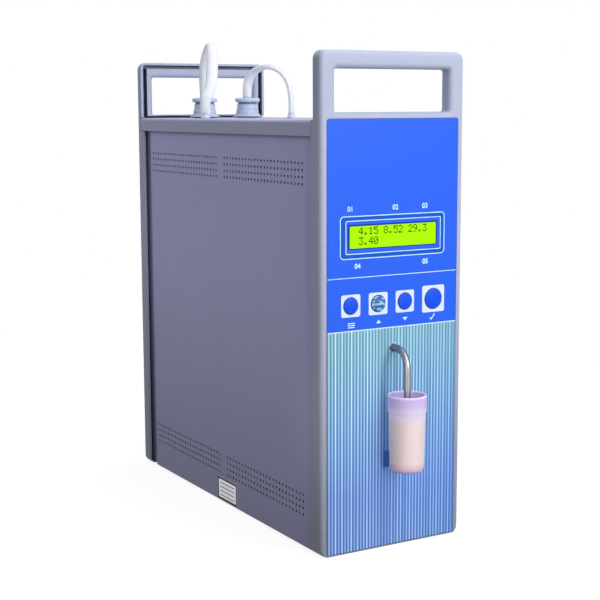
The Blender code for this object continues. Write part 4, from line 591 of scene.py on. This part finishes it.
def board():
    """Solder mask over fine tracks."""
    mat, place = start("board_mask", Roughness=0.35)
    tracks = node(mat, "TexBrick", {"Vector": place, "Scale": 120, "Mortar Size": 0.04}).outputs["Fac"]
    wire(mat, blend(mat, tracks, (0.012, 0.13, 0.05), (0.03, 0.25, 0.1)), "Base Color")
    bumped(mat, tracks, 0.03 * MM)
    return mat


def cast_metal():
    return grained("cast_metal", (0.55, 0.56, 0.58), 0.35, 600, 0.1, Metallic=1)


def bottle():
    return grained("bottle_plastic", (0.78, 0.8, 0.83), 0.4, 300, 0.04, 0.01 * MM)


def clear_lens():
    return grained("clear_lens", (0.4, 0.9, 0.02), 0.06, 150, 0.02, 0, 0.01, Alpha=0.02, sheen=0.01)


# Outlines

def in_mm(points):
    return [mm(*point) for point in points]


def inset(box, by):
    left, right, low, high = box
    return left + by, right - by, low + by, high - by


def around(x, z, wide, tall):
    """The box about a point, with these half sizes."""
    return x - wide, x + wide, z - tall, z + tall


def arc(across, up, radius, begin, end, steps, tall=None):
    """Points on a circle, or an ellipse this tall, from one angle to another."""
    turns = [begin + (end - begin) * k / steps for k in range(steps + 1)]
    return [(across + radius * math.cos(t), up + (tall or radius) * math.sin(t)) for t in turns]


def rounded(left, right, low, high, radius, steps=CORNER_STEPS):
    """A rectangle with round corners, anticlockwise from its right-hand side."""
    left, right, low, high = inset((left, right, low, high), radius)
    points = []
    for k, centre in enumerate(((right, high), (left, high), (left, low), (right, low))):
        points += arc(*centre, radius, QUARTER * k, QUARTER * (k + 1), steps)
    return points


def oblong(left, right, low, high):
    return [(right, low), (right, high), (left, high), (left, low)]


def stripes(left, right, first, pitch, line, count):
    """Rules from left to right, one above another."""
    return [oblong(left, right, low, low + line) for low in (first + k * pitch for k in range(count))]


def circle(radius, sides, across=0, up=0):
    return arc(across, up, radius, 0, 2 * math.pi, sides)[:-1]


def quarter_round(radius, steps=FILLET_STEPS):
    """(inset, depth) pairs down a rounded edge, from the face to the side."""
    return arc(radius, radius, radius, -QUARTER, -2 * QUARTER, steps)


# Forms

def bridge(bm, low, high):
    """Faces between two rows of points, either of which may be one point on the axis."""
    count = max(len(low), len(high))
    for i in range(count):
        j = (i + 1) % count
        corners = (low[i % len(low)], low[j % len(low)], high[j % len(high)], high[i % len(high)])
        bm.faces.new(tuple(dict.fromkeys(corners)))


def finished(bm):
    bmesh.ops.recalc_face_normals(bm, faces=bm.faces)
    mesh = bpy.data.meshes.new("form")
    bm.to_mesh(mesh)
    bm.free()
    return mesh


def lofted(rings, closed=False):
    """A closed body through rings of points: with flat ends, or closed round on itself."""
    bm = bmesh.new()
    rows = [[bm.verts.new(point) for point in ring] for ring in rings]
    for low, high in zip(rows, rows[1:]):
        bridge(bm, low, high)
    if closed:
        bridge(bm, rows[-1], rows[0])
    else:
        for row in (rows[0], rows[-1]):
            if len(row) > 1:
                bm.faces.new(row)
    return finished(bm)


def turned(profile, segments, closed=False):
    """A body of revolution about Z from (radius, height) pairs; a radius of 0 is on the axis."""
    rings = []
    for radius, height in profile:
        outline = circle(radius, segments) if radius else [(0, 0)]
        rings.append([(x, y, height) for x, y in outline])
    return lofted(rings, closed)


def prism(outline, begin, end):
    """An outline in X and Z carried along Y."""
    return lofted([[(x, along, z) for x, z in outline] for along in (begin, end)])


def column(outline, low, high):
    """An outline in X and Y carried up Z."""
    return lofted([[(x, y, level) for x, y in outline] for level in (low, high)])


def block(left, right, front, back, low, high):
    return prism(oblong(left, right, low, high), front, back)


def moved(mesh, place=(0, 0, 0), turn=(0, 0, 0)):
    """The mesh turned about X, Y and Z in that order, and then moved."""
    spin = Matrix.Identity(4)
    for angle, axis in zip(turn, "XYZ"):
        spin = Matrix.Rotation(angle, 4, axis) @ spin
    mesh.transform(Matrix.Translation(place) @ spin)
    return mesh


def on_front(mesh):
    return moved(mesh, (0, FRONT, 0))


def on_rear(mesh):
    return moved(mesh, (0, REAR, 0), (0, 0, math.pi))


def plate(loops, thickness):
    """A flat plate about z = 0; loops inside others are its holes."""
    curve = bpy.data.curves.new("plate", "CURVE")
    curve.dimensions = "2D"
    curve.fill_mode = "BOTH"
    curve.extrude = thickness / 2
    for loop in loops:
        spline = curve.splines.new("POLY")
        spline.points.add(len(loop) - 1)
        for point, (across, up) in zip(spline.points, loop):
            point.co = (across, up, 0, 1)
        spline.use_cyclic_u = True
    return from_curve(curve)


def from_curve(curve):
    carrier = bpy.data.objects.new("carrier", curve)
    mesh = bpy.data.meshes.new_from_object(carrier)
    bpy.data.objects.remove(carrier)
    bm = bmesh.new()
    bm.from_mesh(mesh)
    bmesh.ops.remove_doubles(bm, verts=bm.verts, dist=0.001 * MM)
    return finished(bm)


def stood_front(mesh, depth, thickness):
    """A plate stood up on the front: its X and Y become X and Z, its front face at this depth."""
    return moved(mesh, (0, FRONT + depth + thickness / 2, 0), LYING)


def stood_side(mesh, x):
    """A plate stood up along a side: its X and Y become Y and Z, its middle at this x."""
    return moved(mesh, (x, 0, 0), (QUARTER, 0, QUARTER))


def merged(meshes):
    bm = bmesh.new()
    for mesh in meshes:
        bm.from_mesh(mesh)
    return finished(bm)


def cut(form):
    return "DIFFERENCE", form


def added(form):
    return "UNION", form


def carved(mesh, steps):
    """The mesh after these Boolean steps, each an operation and a form."""
    carrier = linked("carrier", mesh)
    helpers = []
    for operation, form in steps:
        modifier = carrier.modifiers.new("step", "BOOLEAN")
        modifier.operation = operation
        modifier.solver = "EXACT"
        modifier.object = linked("helper", form)
        helpers.append(modifier.object)
    bpy.context.view_layer.update()
    graph = bpy.context.evaluated_depsgraph_get()
    made = bpy.data.meshes.new_from_object(carrier.evaluated_get(graph))
    for obj in (carrier, *helpers):
        bpy.data.objects.remove(obj)
    return made


def piece(name, mesh, finish, body=BODY, stands_for=(), sharp=35):
    """A named piece on its body, smooth except at its sharp edges."""
    obj = linked(name, mesh)
    mesh.materials.clear()
    mesh.materials.append(finish)
    mesh.shade_smooth()
    mesh.set_sharp_from_angle(angle=math.radians(sharp))
    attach(obj, body)
    if stands_for:
        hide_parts(*stands_for)
    return obj


# End shells

def shell_ring(widen, depth):
    half = HALF_WIDTH - widen
    outline = rounded(-half, half, 0, PANEL_HEIGHT - widen, PANEL_CORNER - widen)
    return [(x, depth, z) for x, z in outline]


def opening_ring(widen, depth, sill, draft=0):
    half = OPENING_HALF + widen + draft
    outline = rounded(-half, half, sill - widen, OPENING_TOP + widen, OPENING_CORNER + widen)
    return [(x, depth, z) for x, z in outline]


def end_shell(sill, sill_wall, draft, inner, island_side):
    """The moulding of both ends, with its face at y = 0, reaching inwards along +y."""
    rings = [shell_ring(*step) for step in quarter_round(PANEL_FILLET)]
    rings.append(shell_ring(0, PANEL_DEPTH))
    wall = HALF_WIDTH - PANEL_WALL
    hollow = rounded(-wall, wall, PANEL_WALL, PANEL_HEIGHT - PANEL_WALL, PANEL_INNER_CORNER)
    behind = PANEL_DEPTH + OVERRUN
    side = HALF_WIDTH + OVERRUN
    island, island_top = OPENING_HALF + island_side, OPENING_TOP + ISLAND_TOP
    opening = [opening_ring(OPENING_FILLET, -OVERRUN, sill)]
    opening += [opening_ring(*step, sill) for step in quarter_round(OPENING_FILLET)]
    if inner:
        edge = reversed(quarter_round(inner))
        opening += [opening_ring(widen, HANDLE_DEPTH - depth, sill + widen, draft) for widen, depth in edge]
    opening.append(opening_ring(inner, behind, sill + inner, draft))
    steps = [
        cut(prism(hollow, PANEL_SKIN, behind)),
        cut(block(-side, side, HANDLE_DEPTH, behind, COVER_TOP + GAP, PANEL_HEIGHT + OVERRUN)),
        added(block(-island, island, PANEL_SKIN / 2, HANDLE_DEPTH, sill - sill_wall, island_top)),
        cut(lofted(opening)),
    ]
    return carved(lofted(rings), steps)


def peg(radius, sides, x, level, begin, end):
    return prism(circle(radius, sides, x, level), begin, end)


def front_shell(finish):
    through = PANEL_SKIN + OVERRUN
    half = FOIL_HALF + GAP
    recess = rounded(-half, half, FOIL_FOOT - GAP, FOIL_TOP + GAP, FOIL_CORNER + GAP)
    window = inset(around(0, WINDOW_LEVEL, WINDOW_HALF, WINDOW_TALL), -WINDOW_MARGIN)
    steps = [cut(prism(recess, -OVERRUN, FOIL_RECESS))]
    steps.append(cut(prism(oblong(*window), 0, through)))
    for x, radius, _ in BUTTONS:
        steps.append(cut(peg(radius + GAP, 40, x, BUTTON_LEVEL, 0, through)))
    steps.append(cut(peg(INTAKE_RADIUS + GAP, 24, 0, INTAKE_LEVEL, 0, through)))
    for x in (-BOSS_X, BOSS_X):
        steps.append(added(peg(BOSS_RADIUS, 16, x, BUTTON_LEVEL, PANEL_SKIN / 2, BOSS_END)))
    mesh = on_front(carved(end_shell(*FRONT_HANDLE), steps))
    piece("front_shell", mesh, finish, stands_for=["front_panel"])


def serial_outline(widen):
    wide, tall = SERIAL_HALF[0] + widen, SERIAL_HALF[1] + widen
    low, high, foot = SERIAL_LEVEL - tall, SERIAL_LEVEL + tall, wide - SERIAL_SLANT
    return [(foot, low), (wide, high), (-wide, high), (-foot, low)]


def screw_places():
    return [(x, level) for level in SCREW_LEVELS for x in (-SCREW_X, SCREW_X)]


def rear_shell(finish):
    through = PANEL_SKIN + OVERRUN
    notch = PANEL_DEPTH - COVER_LAP - GAP
    low, high = COVER_TOP - COVER_FLANGE - GAP, COVER_TOP + GAP * 2
    steps = []
    for side in (-1, 1):
        left, right = sorted((side * (SIDE_FACE + GAP / 2), side * (HALF_WIDTH + OVERRUN)))
        steps.append(cut(block(left, right, notch, PANEL_DEPTH + OVERRUN, low, high)))
    for x, *half in (INLET_HOLE, SWITCH_HOLE):
        steps.append(cut(prism(oblong(*around(x, MAINS_LEVEL, *half)), -OVERRUN, through)))
    steps.append(cut(prism(serial_outline(GAP), -OVERRUN, through)))
    for place in screw_places():
        steps.append(cut(peg(SCREW_HOLE, 20, *place, -OVERRUN, through)))
    mesh = on_rear(carved(end_shell(*REAR_HANDLE), steps))
    piece("rear_shell", mesh, finish, stands_for=["rear_panel"])


# Sides

def vent_places():
    """Centres (y, z) of the vent holes, measured from the body's middle."""
    places = []
    fields = product((-VENT_MIDDLE, VENT_MIDDLE), VENT_LOWS, range(VENT_ROWS), range(VENT_COLUMNS))
    for middle, low, row, number in fields:
        y = middle + (number - (VENT_COLUMNS - 1) / 2) * VENT_PITCH
        places.append((y, low + row * VENT_ROW_PITCH))
    return places


def side_sheet(name, side, finish, node_name):
    """A side sheet with round vents, stepped inwards before the rear shell."""
    outline = oblong(SIDE_FRONT, SIDE_BEND, SIDE_BOTTOM, SIDE_TOP)
    holes = [circle(VENT_RADIUS, 14, *place) for place in vent_places()]
    bm = bmesh.new()
    bm.from_mesh(stood_side(plate([outline, *holes], SHEET), side * (SIDE_FACE - SHEET / 2)))
    reach = SIDE_BEND
    for inwards, along in JOGGLE:
        end = [f for f in bm.faces if all(abs(v.co.y - reach) < GAP / 10 for v in f.verts)]
        grown = bmesh.ops.extrude_face_region(bm, geom=end)["geom"]
        points = [v for v in grown if isinstance(v, bmesh.types.BMVert)]
        bmesh.ops.translate(bm, verts=points, vec=(-side * inwards, along, 0))
        bmesh.ops.delete(bm, geom=end, context="FACES")
        reach += along
    mesh = moved(finished(bm), (0, MIDDLE, 0))
    piece(name, mesh, finish, stands_for=[node_name], sharp=25)


def side_label():
    """The bare label low on the left side, with a border and four rules."""
    # The paper glows faintly: painted light that keeps it white on the side in shade.
    glow = {"Emission_Color": (0.95, 0.96, 1, 1), "Emission_Strength": 0.3}
    white = ink("label_paper", (0.93, 0.93, 0.95), 0.5, **glow)
    black = ink("label_ink", (0.012, 0.012, 0.02))
    paper = plate([rounded(*LABEL, LABEL_CORNER, 4)], LABEL_THICKNESS)
    piece("side_label", stood_side(paper, -SIDE_FACE - 0.05 * MM), white)
    edge = inset(LABEL, LABEL_MARGIN)
    border = [oblong(*edge), oblong(*inset(edge, LABEL_BORDER))]
    left, right, low, _ = inset(LABEL, RULE_INDENT)
    rules = stripes(left, right, low - RULE_INDENT + RULE_FIRST, RULE_PITCH, RULE_LINE, 4)
    for name, loops in (("border", border), ("rules", rules)):
        piece(f"side_label_{name}", stood_side(plate(loops, PRINT), -SIDE_FACE - 0.1 * MM), black)


# Front

def window_outline():
    return rounded(*around(0, WINDOW_LEVEL, WINDOW_HALF, WINDOW_TALL), WINDOW_CORNER, 4)


def foil(finish):
    loops = [rounded(-FOIL_HALF, FOIL_HALF, FOIL_FOOT, FOIL_TOP, FOIL_CORNER), window_outline()]
    loops += [circle(radius + GAP, 48, x, BUTTON_LEVEL) for x, radius, _ in BUTTONS]
    loops.append(circle(INTAKE_RADIUS + GAP, 32, 0, INTAKE_LEVEL))
    mesh = stood_front(plate(loops, FOIL_THICKNESS), FOIL_FACE, FOIL_THICKNESS)
    piece("front_foil", mesh, finish, stands_for=["graphic_overlay"])


def printed(name, loops, finish):
    """A print on the foil, from loops or from a mesh."""
    mesh = plate(loops, PRINT) if isinstance(loops, list) else loops
    piece(name, stood_front(mesh, FOIL_FACE - PRINT, PRINT), finish)


def framed(box, corner, line):
    return [rounded(*box, corner), rounded(*inset(box, line), corner - line)]


def ruled(low, high):
    return oblong(-FOIL_HALF + GAP, FOIL_HALF - GAP, low, high)


def arrow(x, z, way):
    """A small triangle that points up or down."""
    base, tip = z - ARROW_BASE * way, z + ARROW_TIP * way
    return [(x + ARROW_HALF, base), (x, tip), (x - ARROW_HALF, base)]


def numeral(text, across, up):
    """A plain printed numeral, centred on this point of the foil."""
    curve = bpy.data.curves.new("numeral", "FONT")
    curve.body = text
    curve.size = NUMERAL_SIZE
    curve.align_x = curve.align_y = "CENTER"
    curve.extrude = PRINT / 2
    curve.offset = NUMERAL_BOLD
    curve.resolution_u = 6
    return moved(from_curve(curve), (across * MM, up * MM, 0))


def foil_marks():
    """Rules, frames, button squares, arrows and plain numerals on the foil, with a painted shadow round the
    window and a painted reflection round the tube's hole.
    """
    white = ink("white_ink", (0.60, 0.93, 1.0))
    chalk = ink("chalk_ink", (0.70, 0.79, 0.96))
    squares = []
    for x, radius, half in BUTTONS:
        squares.append(rounded(*around(x, BUTTON_LEVEL, half, half), SQUARE_CORNER))
        squares.append(circle(radius + GAP, 48, x, BUTTON_LEVEL))
    printed("foil_button_squares", squares, chalk)
    outer = framed(OUTER_FRAME, OUTER_CORNER, OUTER_LINE)
    inner = framed(INNER_FRAME, INNER_CORNER, INNER_LINE)
    loops = [ruled(*UPPER_RULE), *outer, *inner, *[arrow(*place) for place in ARROWS]]
    bars = stripes(*BARS, BARS_FOOT, BAR_PITCH, BAR_LINE, 3)
    printed("foil_white_marks", [*loops, *bars, TICK], white)
    printed("foil_division", [ruled(*DIVISION)], chalk)
    # Painted reflection: a pale ring round the tube's hole in the foil.
    collar = INTAKE_RADIUS + GAP
    ring = [circle(radius, 32, 0, INTAKE_LEVEL) for radius in (collar + TUBE_REFLECTION_RING, collar)]
    printed("foil_tube_painted_reflection", ring, ink("tube_reflection_ink", (0.38, 0.56, 0.76)))
    lapped = rounded(*inset(INNER_FRAME, -BAND_LAP), INNER_CORNER)
    printed("foil_band", [outer[1], lapped], ink("band_ink", (0.012, 0.095, 0.56)))
    # Painted shadow round the display window, widest at the left
    edge = rounded(*WINDOW_SHADOW, WINDOW_SHADOW_CORNER, 4)
    printed("foil_window_painted_shadow", [edge, window_outline()], ink("window_shadow_ink", (0.008, 0.04, 0.28)))
    printed("foil_numerals", merged([numeral(*spot) for spot in NUMERALS]), white)


def display_digits():
    """The readings on the glass, dot by dot."""
    loops = []
    for row, text in enumerate(READINGS):
        for number, letter in enumerate(text):
            left, top = READINGS_LEFT + number * LETTER_PITCH, READINGS_TOP - row * ROW_PITCH
            for line, pattern in enumerate(DOTS.get(letter, "").split()):
                for dot, lit in enumerate(pattern):
                    if lit == "1":
                        x, z = left + dot * DOT_PITCH[0], top - line * DOT_PITCH[1]
                        loops.append(oblong(x, x + DOT_SIZE[0], z - DOT_SIZE[1], z))
    mesh = stood_front(plate(loops, PRINT), BEHIND_SKIN - 2 * PRINT, PRINT)
    piece("display_digits", mesh, ink("lcd_ink", (0.004, 0.03, 0.001)))


def cap_mesh(x, radius):
    """A button cap: stem, flange, barrel and low dome."""
    turns = [QUARTER * k / 8 for k in range(1, 8)]
    dome = [(radius * math.cos(t) ** 0.8, CAP_DOME_FOOT + CAP_DOME * math.sin(t)) for t in turns]
    flange = radius + CAP_FLANGE
    profile = [
        (0, -STEM_END), (STEM_RADIUS, -STEM_END), (STEM_RADIUS, -CAP_FLANGE_END),
        (flange, -CAP_FLANGE_END), (flange, -BEHIND_SKIN), (radius, -BEHIND_SKIN), (radius, CAP_EDGE),
        (radius - CAP_BEVEL, CAP_DOME_FOOT), *dome, (0, CAP_DOME_FOOT + CAP_DOME),
    ]
    return moved(turned(profile, 48), (x, FRONT, BUTTON_LEVEL), LYING)


def caps():
    blue, marbled = cap_plastic(), marbled_cap()
    for number, (x, radius, _) in enumerate(BUTTONS, 1):
        finish = marbled if number == 2 else blue
        name = f"button_{number}"
        piece(f"cap_{number}", cap_mesh(x, radius), finish, name, [name])


def heading(path, k):
    """The direction of a path at its point k."""
    return (path[min(k + 1, len(path) - 1)] - path[max(k - 1, 0)]).normalized()


def intake_tube(finish):
    """The bent steel tube with its bore."""
    bend = arc(-INTAKE_STRAIGHT, INTAKE_LEVEL - INTAKE_BEND, INTAKE_BEND, QUARTER, 2 * QUARTER, 18)
    places = [(INTAKE_TAIL, INTAKE_LEVEL), *bend, (-INTAKE_STRAIGHT - INTAKE_BEND, INTAKE_FOOT)]
    path = [Vector((0, *place)) for place in places]
    across = Vector((1, 0, 0))
    rows = []
    for radius, order in ((INTAKE_RADIUS, 1), (INTAKE_BORE, -1)):
        for k in range(len(path))[::order]:
            other = heading(path, k).cross(across)
            rows.append([path[k] + across * a + other * b for a, b in circle(radius, 32)])
    piece("steel_tube", on_front(lofted(rows, closed=True)), finish, stands_for=["intake_tube"])


def cup(finish):
    """The cup with its round rim, wider collar and dovetail rib, and the milk in it."""
    corner = [(CUP_FOOT - widen, depth) for widen, depth in quarter_round(CUP_CORNER, 6)]
    profile = [(0, 0), *corner, *CUP_SIDE, *arc(*CUP_RIM, 0, math.pi, 6), *CUP_INSIDE]
    mesh = carved(turned(in_mm(profile), 64), [added(column(in_mm(CUP_RIB), *RIB_SPAN))])
    place = (0, CUP_AXIS, CUP_BOTTOM)
    piece("cup_form", moved(mesh, place), finish, "cup", ["sample_cup"], 30)
    piece("milk", moved(turned(in_mm(MILK), 64), place), milk(), "cup")


# Top

def stoppers(finish):
    """Rubber stoppers: plug, flared foot, neck, groove and rounded flange."""
    flare = [(8 + 2.3 * (1 - k / 6) ** 2.2, 0.9 + 0.4 * k) for k in range(7)]
    flange = arc(7.7, 12.1, 1.2, -QUARTER, QUARTER, 8, tall=1.5)[1:]
    profile = in_mm([*STOPPER_PLUG, *flare, *STOPPER_NECK, *flange, *STOPPER_MOUTH])
    for name, x in (("left", -STOPPER_X), ("right", STOPPER_X)):
        mesh = moved(turned(profile, 64), (x, STOPPER_Y, COVER_TOP + GAP))
        stands_for = [f"stopper_{name}"]
        piece(f"rubber_stopper_{name}", mesh, finish, stands_for=stands_for, sharp=50)


def ports(finish):
    profile = in_mm(PORT)
    for name, (x, y) in zip(("left", "right"), PORTS):
        mesh = moved(turned(profile, 40), (x, y, COVER_TOP + GAP))
        piece(f"port_cone_{name}", mesh, finish, stands_for=[f"hose_port_{name}"])


def between(table, height):
    """Breadth and thickness at a height, by straight lines between the table's rows."""
    rows = sorted(table)
    if height <= rows[0][0]:
        return rows[0][1:]
    for (h0, *low), (h1, *high) in zip(rows, rows[1:]):
        if height <= h1:
            share = (height - h0) / (h1 - h0)
            return tuple(a + (b - a) * share for a, b in zip(low, high))
    return rows[-1][1:]


def smooth_route(places, step):
    """Points about a step apart on a smooth curve through the places."""
    padded = [places[0] * 2 - places[1], *places, places[-1] * 2 - places[-2]]
    fine = []
    for a, b, c, d in zip(padded, padded[1:], padded[2:], padded[3:]):
        for k in range(12):
            t = k / 12
            straight = b * 2 + (c - a) * t
            bent = (a * 2 - b * 5 + c * 4 - d) * t**2 + (b * 3 - a - c * 3 + d) * t**3
            fine.append((straight + bent) / 2)
    fine.append(places[-1])
    length = sum((q - p).length for p, q in zip(fine, fine[1:]))
    spaces = round(length / step)
    kept, walked = [fine[0]], 0
    for p, q in zip(fine, fine[1:]):
        walked += (q - p).length
        if walked >= length * len(kept) / spaces and len(kept) < spaces:
            kept.append(q)
    return [*kept, fine[-1]]


def hose(name, x, shares, port, rise, finish, node_name, sections, facing=None):
    """A soft hose, flattened where it bends, from a stopper to its port."""
    rising, falling = sections
    begin = Vector((x, STOPPER_Y, COVER_TOP + STOPPER_HEIGHT - GAP))
    end = Vector((*port, COVER_TOP + PORT_HEIGHT))
    span = end - begin
    places = [begin]
    for across, along, up in shares:
        places.append(Vector((x + span.x * across, STOPPER_Y + span.y * along, COVER_TOP + rise * up)))
    places.append(end)
    path = smooth_route(places, HOSE_STEP)
    side = Vector((span.y, -span.x, 0)).normalized()
    peak = max(range(len(path)), key=lambda k: path[k].z)
    last = len(path) - 1
    rings = []
    for k, point in enumerate(path):
        along = heading(path, k)
        twist = min(1.0, 2 * max(0, k - peak) / (last - peak))
        broad = side.lerp(facing or side, twist)
        broad = (broad - along * broad.dot(along)).normalized()
        normal = along.cross(broad)
        table = rising if k <= peak else falling
        breadth, thickness = mm(*between(table, (point.z - COVER_TOP) / MM))
        rings.append([point + broad * a * breadth + normal * b * thickness for a, b in circle(0.5, 32)])
    obj = piece(name, lofted(rings), finish, stands_for=[node_name])


def hoses():
    """Both hoses run from a stopper to a fitting in the cover."""
    white = silicone()
    port, sections = PORTS[0], (LEFT_UP, LEFT_DOWN)
    hose("silicone_hose_left", -STOPPER_X, LEFT_ARCH, port, LEFT_RISE, white, "hose_left", sections)
    name, port, sections = "silicone_hose_right", PORTS[1], (RIGHT_UP, RIGHT_DOWN)
    hose(name, STOPPER_X, RIGHT_ARCH, port, RIGHT_RISE, white, "hose_right", sections, RIGHT_FACING)


# Rear

def screws(finish):
    head = arc(0, SCREW_FOOT, SCREW_RADIUS, 0, QUARTER, 8, tall=SCREW_DOME)[:-1]
    profile = in_mm([*SCREW_SHANK, *head, (0, SCREW_FOOT + SCREW_DOME)])
    arms = [cut(column(oblong(*around(0, 0, *half)), *CROSS_SPAN)) for half in CROSS_ARMS]
    master = carved(turned(profile, 32), arms)
    for number, (x, level) in enumerate(screw_places(), 1):
        mesh = on_rear(moved(master.copy(), (x, -GAP, level), LYING))
        piece(f"panel_screw_{number}", mesh, finish, stands_for=[f"rear_screw_{number}"])


def rocker_mark(up, loops):
    """A mark on one half of the tilted rocker."""
    mark = plate(loops, MARK_THICKNESS)
    lean = math.copysign(ROCKER_TILT, up)
    place = (0, ROCKER_FRONT - abs(up) * math.tan(ROCKER_TILT), up)
    mark.transform(Matrix.Translation(place) @ Matrix.Rotation(lean + QUARTER, 4, "X"))
    pivot = Matrix.Translation((SWITCH_HOLE[0], SWITCH_PIVOT, MAINS_LEVEL))
    mark.transform(pivot @ Matrix.Rotation(-ROCKER_TILT, 4, "X"))
    return mark


def rear_details(metal, dark):
    """Contacts of both connectors, jack nuts and the marks on the switch."""
    pins = []
    for count, up in SERIAL_ROWS:
        for k in range(count):
            x = (k - (count - 1) / 2) * PIN_PITCH
            pins.append(moved(turned(in_mm(PIN), 12), (x, PIN_BACK, SERIAL_LEVEL + up), LYING))
    piece("serial_pins", on_rear(merged(pins)), metal)
    insert = [(x * 0.88, SERIAL_LEVEL + (z - SERIAL_LEVEL) * 0.78) for x, z in serial_outline(0)]
    piece("serial_insert", on_rear(prism(insert, *SERIAL_INSERT)), dark)
    nuts = []
    for x in (-NUT_X, NUT_X):
        nuts.append(moved(turned(in_mm(NUT), 6, closed=True), (x, NUT_BACK, SERIAL_LEVEL), LYING))
    piece("serial_nuts", on_rear(merged(nuts)), metal, sharp=20)
    blades = []
    for x, level in INLET_BLADES:
        outline = rounded(*around(x, level, *BLADE_HALF), BLADE_CORNER, 3)
        blades.append(prism(outline, *BLADE_SPAN))
    piece("inlet_contacts", on_rear(merged(blades)), metal)
    bar = [oblong(-MARK_LINE, MARK_LINE, -MARK_RADII[0], MARK_RADII[0])]
    ring = [circle(radius, 28) for radius in MARK_RADII]
    marks = merged([rocker_mark(MARK_UP, bar), rocker_mark(-MARK_UP, ring)])
    piece("rocker_marks", on_rear(marks), ink("mark_ink", (0.8, 0.8, 0.8)), "power_rocker")


# Floor

def floor():
    """A pale floor that fades to white away from the object."""
    half = 12
    mesh = column(oblong(-half, half, -half, half), -20 * MM, -0.5 * MM)
    obj = linked("floor", mesh)
    mat, place = start("floor", Roughness=0.9)
    wire(mat, blend(mat, noise(mat, place, 30), (0.165, 0.165, 0.17), (0.18, 0.18, 0.185)), "Base Color")
    _, seen = looked_at(mat)
    away = node(mat, "VectorMath", {0: place}, operation="LENGTH").outputs["Value"]
    far = spread(mat, away, 0.22, 0.75)
    plain = mat.node_tree.nodes["Principled BSDF"].outputs[0]
    white = node(mat, "Emission", {"Strength": 1})
    veil = node(mat, "Emission", {"Strength": 0.88})
    lifted = node(mat, "AddShader", {0: plain, 1: veil.outputs[0]})
    near = node(mat, "MixShader", {0: far, 1: lifted.outputs[0], 2: white.outputs[0]})
    mixed = node(mat, "MixShader", {0: seen, 1: plain, 2: near.outputs[0]})
    mat.node_tree.links.new(mixed.outputs[0], mat.node_tree.nodes["Material Output"].inputs["Surface"])
    mesh.materials.append(mat)


# Frame nodes that stay

def dress(finish, *names):
    for name in names:
        slots = NODES[name].material_slots
        for slot in slots:
            slot.material = finish
        if not slots:
            NODES[name].data.materials.append(finish)


def main():
    forget_startup()
    camera()
    hoses()
    lights()
    plain_world()
    floor()
    shell, paint, dark, bright = shell_plastic(), sheet_paint(), dark_plastic(), steel()
    lid = cover_paint()
    front_shell(shell)
    rear_shell(shell)
    side_sheet("left_side_sheet", -1, paint, "left_side_panel")
    side_sheet("right_side_sheet", 1, paint, "right_side_panel")
    side_label()
    foil(foil_print())
    foil_marks()
    display_digits()
    caps()
    intake_tube(bright)
    cup(cup_plastic())
    stoppers(rubber())
    ports(port_plastic())
    screws(bright)
    rear_details(bright, dark)
    dress(lid, "top_cover", "base_tray")
    dress(clear_lens(), "display_lens")
    dress(lit_display(), "display_glass")
    metal_parts = ("display_module", "power_supply", "mounting_plate", "reservoir_stand", "measuring_cell")
    dress(cast_metal(), *metal_parts)
    dress(board(), "keypad_board", "main_board")
    dress(holder_plastic(), "cup_holder")
    dress(dark, "intake_bush", "pump_housing", "power_inlet", "switch_frame", "switch_rocker")
    dress(silicone(), "intake_sleeve", "pump_hose", "rinse_hose")
    dress(bottle(), "reservoir_left", "reservoir_right", "pump_rotor")
    rollers = [f"pump_roller_{number}" for number in (1, 2, 3)]
    dress(bright, *rollers, "motor_shaft", "pump_motor", "serial_connector")
    bpy.context.scene.view_settings.view_transform = "Standard"


main()
